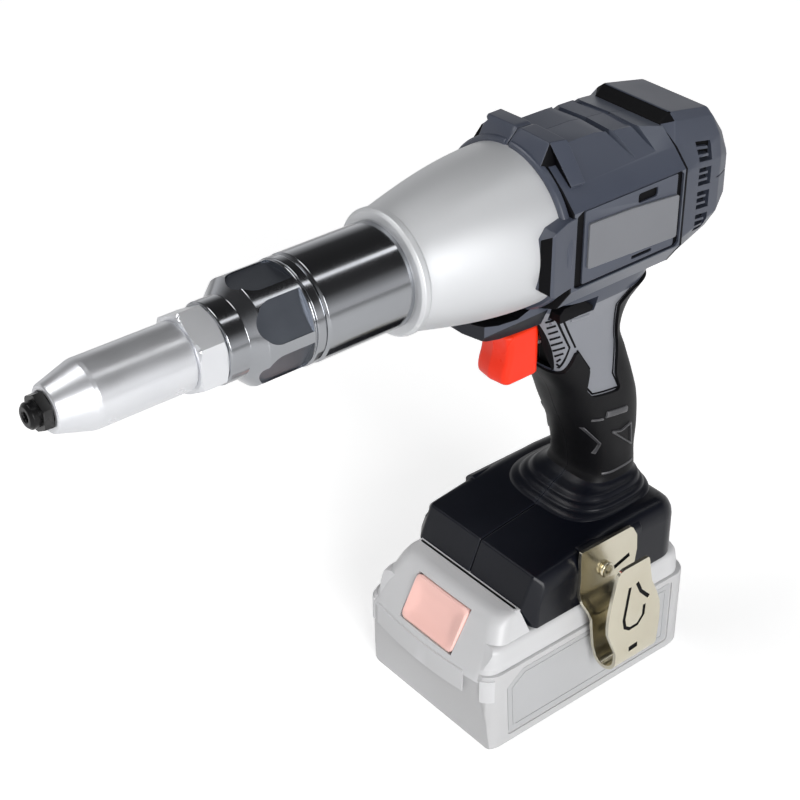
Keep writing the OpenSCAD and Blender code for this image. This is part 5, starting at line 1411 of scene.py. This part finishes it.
@dataclass
class BeltHook:
    """Bent sheet hook on the tool's left side, as (y, z, low x, high x) along its sheet."""

    thick: float = 1.6
    path: tuple[Point4, ...] = (
        (-37.35, 80.4, -9.4, 18.2), (-37.35, 79.2, -9.8, 19.8), (-37.35, 74.5, -9.7, 22.4),
        (-37.35, 67.2, -9.2, 23.0), (-37.35, 60.0, -9.4, 22.0), (-37.8, 57.4, -9.4, 21.6),
        (-39.5, 54.4, -9.0, 21.0), (-41.6, 51.6, -8.0, 20.6), (-42.9, 48.2, -7.0, 20.3),
        (-42.9, 40.0, -6.0, 20.5), (-42.9, 33.0, -5.0, 21.0), (-42.9, 28.8, -3.6, 21.5))
    outer: tuple[Point4, ...] = (
        (-52.9, 28.8, -2.0, 22.0), (-52.9, 33.4, -2.1, 22.4), (-52.9, 40.0, -5.0, 22.8),
        (-52.9, 46.0, -7.4, 22.6), (-52.9, 50.0, -7.8, 22.0), (-52.9, 56.3, -7.5, 19.6),
        (-52.9, 63.5, -6.3, 16.2), (-52.9, 70.0, -5.0, 14.8), (-52.9, 74.6, -4.0, 14.0),
        (-52.9, 76.2, -2.8, 13.6), (-52.9, 77.0, -0.8, 12.8))
    slits: tuple[tuple[tuple[Point2, ...], float], ...] = (
        (((3.4, 66.0), (1.2, 50.0), (2.2, 45.6), (5.0, 43.6), (9.6, 43.8), (12.6, 47.4),
          (12.8, 52.6)), 1.7),
        (((7.4, 66.6), (10.0, 61.0), (15.0, 55.6)), 1.7),
        (((5.5, 32.2), (10.5, 32.6)), 2.6))

    def build(self) -> None:
        """Builds and places the hook, the black painted shade that fills its slits, and its screw."""
        place(self.sheet(), NICKEL, "tool", ["belt_hook"])
        # Black fills of painted shade sit in the slits, for the shadow seen through them.
        shade_fills = [self.slit(path, width - 0.1, (-53.3, -52.2)) for path, width in self.slits]
        shade_fills.append(self.slit([(10.2, 63.7), (18.4, 66.1)], 2.0, (-37.8, -36.7)))
        place(join("hook_slit_shade", shade_fills), PAINTED_SHADE, "tool")
        place(self.screw(), NICKEL, "tool", ["hook_screw"])

    def sheet(self) -> Object:
        """Builds the bent sheet with its slits."""
        rows = list(self.path)
        for k in range(1, 12):
            a = math.pi * k / 12
            y, z = -47.9 + 5 * math.cos(a), 28.8 - 5 * math.sin(a)
            rows.append((y, z, -3.6 + 1.6 * k / 12, 21.5 + 0.5 * k / 12))
        rows += list(self.outer)
        across = 6
        points, faces = [], []
        for y, z, low, high in rows:
            points += [(low + (high - low) * k / across, y, z) for k in range(across + 1)]
        for r in range(len(rows) - 1):
            for k in range(across):
                a = r * (across + 1) + k
                faces.append((a, a + 1, a + across + 2, a + across + 1))
        sheet = new_object("belt_hook_sheet", points, faces)
        mod = sheet.modifiers.new("thick", "SOLIDIFY")
        mod.thickness = self.thick
        mod.offset = 0.0
        mod.use_even_offset = True
        bake(sheet)
        edit(sheet, lambda bm: bmesh.ops.recalc_face_normals(bm, faces=bm.faces))
        boolean(sheet, [self.slit(path, width) for path, width in self.slits])
        boolean(sheet, [self.slit([(10.0, 63.6), (18.6, 66.2)], 2.2, (-39, -36.6))])
        return rounded(tidy_faces(sheet, 0.3), 0.3, 2, 40)

    @staticmethod
    def slit(path: Sequence[Point2], width: float, reach: Point2 = (-56.0, -50.0)) -> Object:
        """Builds a solid along a path seen from the side, to cut a slit or to fill it with painted shade.
        """
        spots = [Vector(p) for p in path]
        left, right = [], []
        for k, spot in enumerate(spots):
            ahead = spots[min(k + 1, len(spots) - 1)] - spots[max(k - 1, 0)]
            side = Vector((-ahead.y, ahead.x)).normalized() * width / 2
            left.append(tuple(spot + side))
            right.append(tuple(spot - side))
        return prism("slit", left + right[::-1], Axis.Y, *reach)

    @staticmethod
    def screw() -> Object:
        """Builds the hook's screw with its six-sided socket."""
        x, z = 4.42, 66.0
        head = rounded(prism("hook_screw_head", circle(x, z, 3.5, 48), Axis.Y, -40.2, -38.1), 0.9, 4, 40)
        boolean(head, [prism("socket", circle(x, z, 1.8, 6), Axis.Y, -42, -39.2)])
        return join("hook_screw_head", [head, prism("shank", circle(x, z, 1.9, 32), Axis.Y, -38.2, -31)])


@dataclass
class Battery:
    """Slide-on battery with its rails and release button."""

    front_x: float = -59.8
    rear_x: float = 57.5
    half_w: float = 38.5
    top_z: float = 60.76
    hump_x: float = -47.15
    low_z: float = 36.8
    corner: float = 8.5
    bow: float = 2.4

    def build(self) -> None:
        """Builds and places the case halves, the label panels and the button."""
        place(self.lower(), PACK_LOW, "battery", ["battery_lower"])
        place(self.upper(), PACK, "battery", ["battery_upper"])
        place(self.labels(), LABEL, "battery")
        place(self.button(), BUTTON, "button_body", ["battery_button"])

    @property
    def lean(self) -> float:
        """Angle of the front slope above the floor."""
        return math.atan2(self.top_z - self.low_z, self.hump_x - self.front_x)

    def outline(self, inset: float, corner: float, bulge: float = 0.0) -> list[Point2]:
        """Gives the rounded outline of the case seen from above, with a bowed front."""
        low, high, half = self.front_x + inset, self.rear_x - inset, self.half_w - inset
        flat = half - corner
        points = [(low - bulge * (1 - (t / 6) ** 2), -flat * t / 6) for t in range(-6, 7)]
        for x, y, turn in ((low, -half, 180), (high, -half, 270), (high, half, 0), (low, half, 90)):
            cx, cy = x - math.copysign(corner, x), y - math.copysign(corner, y)
            angles = [math.radians(turn + 90 * k / 8) for k in range(9)]
            points += [(cx + corner * math.cos(a), cy + corner * math.sin(a)) for a in angles]
        return points[:12] + points[13:-1]

    def slope(self) -> Object:
        """Builds the tool that cuts the front slope of the case."""
        x0, x1, top = self.front_x, self.hump_x, self.top_z
        outline = [(x0 - 40, -5), (x0 + 4.6, -5), (x0, 34.0), (x0, self.low_z), (x1, top),
                   (x1 + 0.528 * 20, top + 20), (x0 - 40, top + 20)]
        return prism("slope", outline, Axis.Y, -60, 60)

    def pocket(self) -> Object:
        """Builds the room of the button."""
        return self.on_slope(block("pocket", (-10.5, -16.4, -9.0), (10.5, 16.4, 12.0)))

    def on_slope(self, obj: Object) -> Object:
        """Moves a piece drawn flat onto the slope of the case's front."""
        middle = Vector(((self.front_x + self.hump_x) / 2, 0, (self.low_z + self.top_z) / 2))
        obj.data.transform(Matrix.Translation(middle) @ Matrix.Rotation(-self.lean, 4, "Y"))
        return obj

    def lower(self) -> Object:
        """Builds the lower case with its bowed front and label recesses."""
        levels = ((0.0, 1.3), (0.5, 0.5), (1.6, 0.0), (20.0, 0.0), (39.0, 0.0), (39.7, 0.25), (39.9, 0.8))
        rings = [at_height(self.outline(inset, self.corner, self.bow), z) for z, inset in levels]
        recess = filleted([(-47.0, 4.6), (47.0, 4.6), (47.0, 37.4), (-40.0, 37.4), (-48.6, 31.0)], 2.0, 4)
        cuts = [prism("label", recess, Axis.Y, *reach) for reach in ((-50, -37.8), (37.8, 50))]
        return boolean(lofted("battery_lower_case", rings), [*cuts, self.slope(), self.pocket()])

    def plate(self, name: str, first: int, last: int, low: float, high: float) -> Object:
        """Builds a thin plate on the lower case that follows a stretch of its outline."""
        outer, inner = (self.outline(inset, self.corner, self.bow) for inset in (-0.5, 1.0))
        return prism(name, outer[first:last] + inner[first:last][::-1], Axis.Z, low, high)

    def upper(self) -> Object:
        """Builds the upper case with its shoulder, rails, crowned front and front band."""
        levels = ((40.05, 1.5), (44.0, 1.7), (48.4, 2.2), (50.2, 3.2), (50.9, 4.8))
        shoulder = lofted("shoulder", [at_height(self.outline(inset, 9.0), z) for z, inset in levels])
        hump = lofted("hump", [self.hump_ring(z, x, half) for z, x, half in self.hump_levels()])
        boolean(shoulder, [self.slope(), self.pocket()])
        boolean(hump, [self.pocket()])
        neck = rounded(block("neck", (-38, -27.2, 45), (44.7, 27.2, self.top_z - 0.02)), 0.5, 2)
        rail = rounded(block("rail", (-38, -30.8, 55.35), (44.7, 30.8, self.top_z)), 0.6, 3)
        for part in (neck, rail):
            boolean(part, [block("slot", (20, side * 12.05 - 1.6, 52), (70, side * 12.05 + 1.6, 80))
                           for side in (-1, 1)])
        band = rounded(boolean(self.plate("band", 0, 12, 27.6, 38.4), [self.pocket()]), 0.35, 3)
        tabs = [rounded(self.plate("tab", 14, 19, 27.0, 38.2), 0.3, 2)]
        tabs.append(mirrored(tabs[0], "tab"))
        return join("battery_upper_case", [shoulder, hump, neck, rail, band, *tabs])

    def hump_levels(self) -> list[Point3]:
        """Gives height, front and half width of the rings of the front hump, with a crowned top edge."""
        reach = 9.0 * math.tan(self.lean / 2)
        low = (self.hump_x - reach * math.cos(self.lean), self.top_z - reach * math.sin(self.lean))
        high = Vector((self.hump_x + reach, self.top_z))
        spots = [(self.front_x + (low[0] - self.front_x) * t / 6,
                  self.low_z + (low[1] - self.low_z) * t / 6) for t in range(6)]
        crown = Vector((self.hump_x, self.top_z))
        for k in range(13):
            t = k / 12
            spots.append(tuple(Vector(low).lerp(crown, t).lerp(crown.lerp(high, t), t)))
        halves = ((36.0, 37.0), (44.0, 36.2), (50.0, 34.8), (55.0, 33.0), (59.0, 31.6), (60.3, 30.8),
                  (60.76, 29.6))
        return [(z, x, smooth_value(halves, z)) for x, z in spots]

    def hump_ring(self, z: float, front: float, half: float) -> list[Point3]:
        """Gives one ring of the front hump, whose rear follows the tool's front."""
        corner, rear = 7.0, -36.2
        flat = half - corner
        low = max(0.0, min(1.0, (52.0 - z) / 15.0))
        front -= 0.5 * low
        points = [(front - (1.0 + 1.4 * low) * (1 - (t / 6) ** 2), -flat * t / 6) for t in range(-6, 7)]
        arc = [math.radians(180 + 90 * k / 8) for k in range(1, 9)]
        near = [(front + corner + corner * math.cos(a), -flat + corner * math.sin(a)) for a in arc]
        tail = [(rear + max(0.0, half - 30.8) * 0.75, -half), (rear, -min(half, 30.8) + 0.4)]
        side = [(min(x, tail[0][0] - 0.02 * k), y) for k, (x, y) in enumerate(near[::-1])][::-1]
        far = [(x, -y) for x, y in (side + tail)[::-1]]
        return at_height(points + side + tail + far, z)

    def labels(self) -> Object:
        """Builds the bare label panels in their recesses, each with a raised rim."""
        panel = [(-46.2, 5.4), (46.2, 5.4), (46.2, 36.6), (-39.6, 36.6), (-47.8, 30.6)]
        edge = [(-44.0, 7.6), (44.0, 7.6), (44.0, 34.4), (-38.6, 34.4), (-45.4, 29.4)]
        opening = [(-43.0, 8.6), (43.0, 8.6), (43.0, 33.4), (-38.2, 33.4), (-44.3, 28.9)]
        left = prism("battery_label_panels", filleted(panel, 1.6, 4), Axis.Y, -38.1, -37.0)
        rim = prism("rim", filleted(edge, 1.4, 4), Axis.Y, -38.4, -37.5)
        boolean(rim, [prism("hole", filleted(opening, 1.0, 4), Axis.Y, -45, -30)])
        parts = [rounded(left, 0.2, 2), rounded(rim, 0.15, 2)]
        return join("battery_label_panels", parts + [mirrored(p, "right") for p in parts])

    def button(self) -> Object:
        """Builds the release button with its dished face."""
        levels = ((-4.9, 0.0), (1.2, 0.0), (1.84, 0.7), (1.7, 2.2), (1.1, 4.0), (0.65, 6.0), (0.5, 8.0))
        rings = []
        for z, inset in levels:
            x, y = 10.2 - inset, 16.1 - inset
            rings.append(at_height(filleted([(-x, -y), (x, -y), (x, y), (-x, y)], 3.0, 6), z))
        spring_room = prism("spring_room", circle(0.0, 0.0, 5.2, 32), Axis.Z, -6.0, -1.7)
        return self.on_slope(boolean(lofted("release_button", rings), [spring_room]))


# Inner pieces, stage, light and camera


def dress_inner() -> None:
    """Gives every CAD node the finish of its material slot."""
    slots = {p["node"]: p["material_slot"] for p in frame["record"]["subparts"]}
    for name, obj in frame["nodes"].items():
        finish = SLOT_FINISHES[slots.get(name, "black_plastic")]
        obj.data.materials.clear()
        obj.data.materials.append(finish.material())
        LOG.info("%s dressed as %s", name, finish.name)


@dataclass
class Studio:
    """Pale floor, soft lamps and the camera."""

    floor_colour: Point3 = (0.9, 0.9, 0.9)
    floor_z: float = -0.0003
    lift: Point2 = (0.47, 0.62)
    eye: Point3 = (-0.4320, -0.4399, 0.5349)
    azimuth: float = -39.28
    elevation: float = 33.33
    roll: float = -0.243
    lens: float = 82.38
    sky: tuple[Point2, ...] = ((0.0, 1.0), (0.12, 0.95), (0.3, 0.5), (0.5, 0.07), (1.0, 0.025))
    sky_strength: float = 0.85
    lamps: tuple[tuple[str, Point3, Point3, Point2, float], ...] = (
        ("key_softbox", (-0.55, -1.45, 0.7), (0.0, 0.0, 0.14), (0.9, 0.9), 24.0),
        ("streak_strip", (0.42, -0.27, 1.12), (-0.1, 0.0, 0.2), (1.1, 0.12), 1.0),
        ("top_softbox", (-0.6, 0.4, 1.5), (0.0, 0.0, 0.1), (0.8, 0.8), 9.0))

    def build(self) -> None:
        """Builds everything around the tool."""
        self.floor()
        self.world()
        for lamp in self.lamps:
            self.lamp(*lamp)
        self.camera()

    def floor(self) -> None:
        """Builds the pale floor under the tool."""
        corners = at_height([(-6, -6), (6, -6), (6, 6), (-6, 6)], self.floor_z)
        floor = new_object("pale_floor", corners, [(0, 1, 2, 3)])
        mat = bpy.data.materials.new("floor_paper")
        mat.use_nodes = True
        tree = mat.node_tree
        shader = tree.nodes["Principled BSDF"]
        fill(shader, {"Roughness": 0.9, "Specular IOR Level": 0.1, "Emission Color": (1, 1, 1, 1)})
        grain = add_node(tree, "ShaderNodeTexNoise", {"Scale": 3.0})
        paper = add_mix(tree, self.floor_colour, [c * 0.99 for c in self.floor_colour])
        seen = add_node(tree, "ShaderNodeLightPath")
        spot = add_node(tree, "ShaderNodeTexCoord")
        reach = add_node(tree, "ShaderNodeVectorMath", operation="LENGTH")
        fade = add_node(tree, "ShaderNodeMapRange", {"From Min": 0.1, "From Max": 0.7,
                                                     "To Min": self.lift[0], "To Max": self.lift[1]})
        glossy = add_node(tree, "ShaderNodeMath", {1: 0.25}, operation="MULTIPLY")
        lift = add_node(tree, "ShaderNodeMath", operation="MULTIPLY_ADD")
        wire(tree, (grain, "Fac", paper, "Factor"), (paper, 2, shader, "Base Color"),
             (spot, "Object", reach, 0), (reach, "Value", fade, "Value"),
             (seen, "Is Camera Ray", lift, 0), (fade, "Result", lift, 1),
             (seen, "Is Glossy Ray", glossy, 0), (glossy, "Value", lift, 2),
             (lift, "Value", shader, "Emission Strength"))
        floor.data.materials.append(mat)

    def world(self) -> None:
        """Makes a soft sky that is pale at the horizon and dim overhead."""
        world = bpy.data.worlds.new("studio")
        bpy.context.scene.world = world
        world.use_nodes = True
        tree = world.node_tree
        sky = tree.nodes["Background"]
        fill(sky, {"Strength": self.sky_strength})
        spot = add_node(tree, "ShaderNodeTexCoord")
        split = add_node(tree, "ShaderNodeSeparateXYZ")
        ramp = add_node(tree, "ShaderNodeValToRGB")
        stops = ramp.color_ramp.elements
        while len(stops) < len(self.sky):
            stops.new(0.5)
        for element, (at, level) in zip(stops, self.sky):
            element.position = at
            element.color = (level, level, level * 1.01, 1)
        wire(tree, (spot, "Generated", split, "Vector"), (split, "Z", ramp, "Fac"),
             (ramp, "Color", sky, "Color"))

    @staticmethod
    def lamp(name: str, at: Sequence[float], aim: Sequence[float], size: Point2, power: float) -> None:
        """Adds a soft lamp.

        Args:
            name: Name of the lamp.
            at: Where it hangs, in metres.
            aim: Where it points.
            size: Width and height of its face.
            power: Its power in watts.
        """
        data = bpy.data.lights.new(name, "AREA")
        data.shape = "RECTANGLE"
        data.size, data.size_y = size
        data.energy = power
        lamp = linked(name, data)
        lamp.location = at
        back = (Vector(at) - Vector(aim)).normalized()
        side = (Vector((1, 0, 0)) - back * back.x).normalized()
        lamp.rotation_euler = Matrix((side, back.cross(side), back)).transposed().to_euler()

    def camera(self) -> None:
        """Sets up the camera of the main picture."""
        a, e, r = (math.radians(v) for v in (self.azimuth, self.elevation, self.roll))
        back = Vector((math.sin(a) * math.cos(e), -math.cos(a) * math.cos(e), math.sin(e)))
        right = Vector((0, 0, 1)).cross(back).normalized()
        up = back.cross(right)
        right, up = right * math.cos(r) + up * math.sin(r), up * math.cos(r) - right * math.sin(r)
        data = bpy.data.cameras.new("main_camera")
        data.lens = self.lens
        data.sensor_width = 36.0
        data.clip_start = 0.02
        camera = linked("main_camera", data)
        turn = Matrix((right, up, back)).transposed().to_4x4()
        camera.matrix_world = Matrix.Translation(self.eye) @ turn
        bpy.context.scene.camera = camera


def main() -> None:
    """Builds the dressed tool and its studio."""
    logging.basicConfig(level=logging.INFO, format="%(message)s")
    bpy.context.scene.view_settings.view_transform = "Standard"
    dress_inner()
    for assembly in (Nose, Housing, RearCover, Grip, SidePanels, Controls, BeltHook, Battery):
        assembly().build()
    Studio().build()


if __name__ == "__main__":
    main()
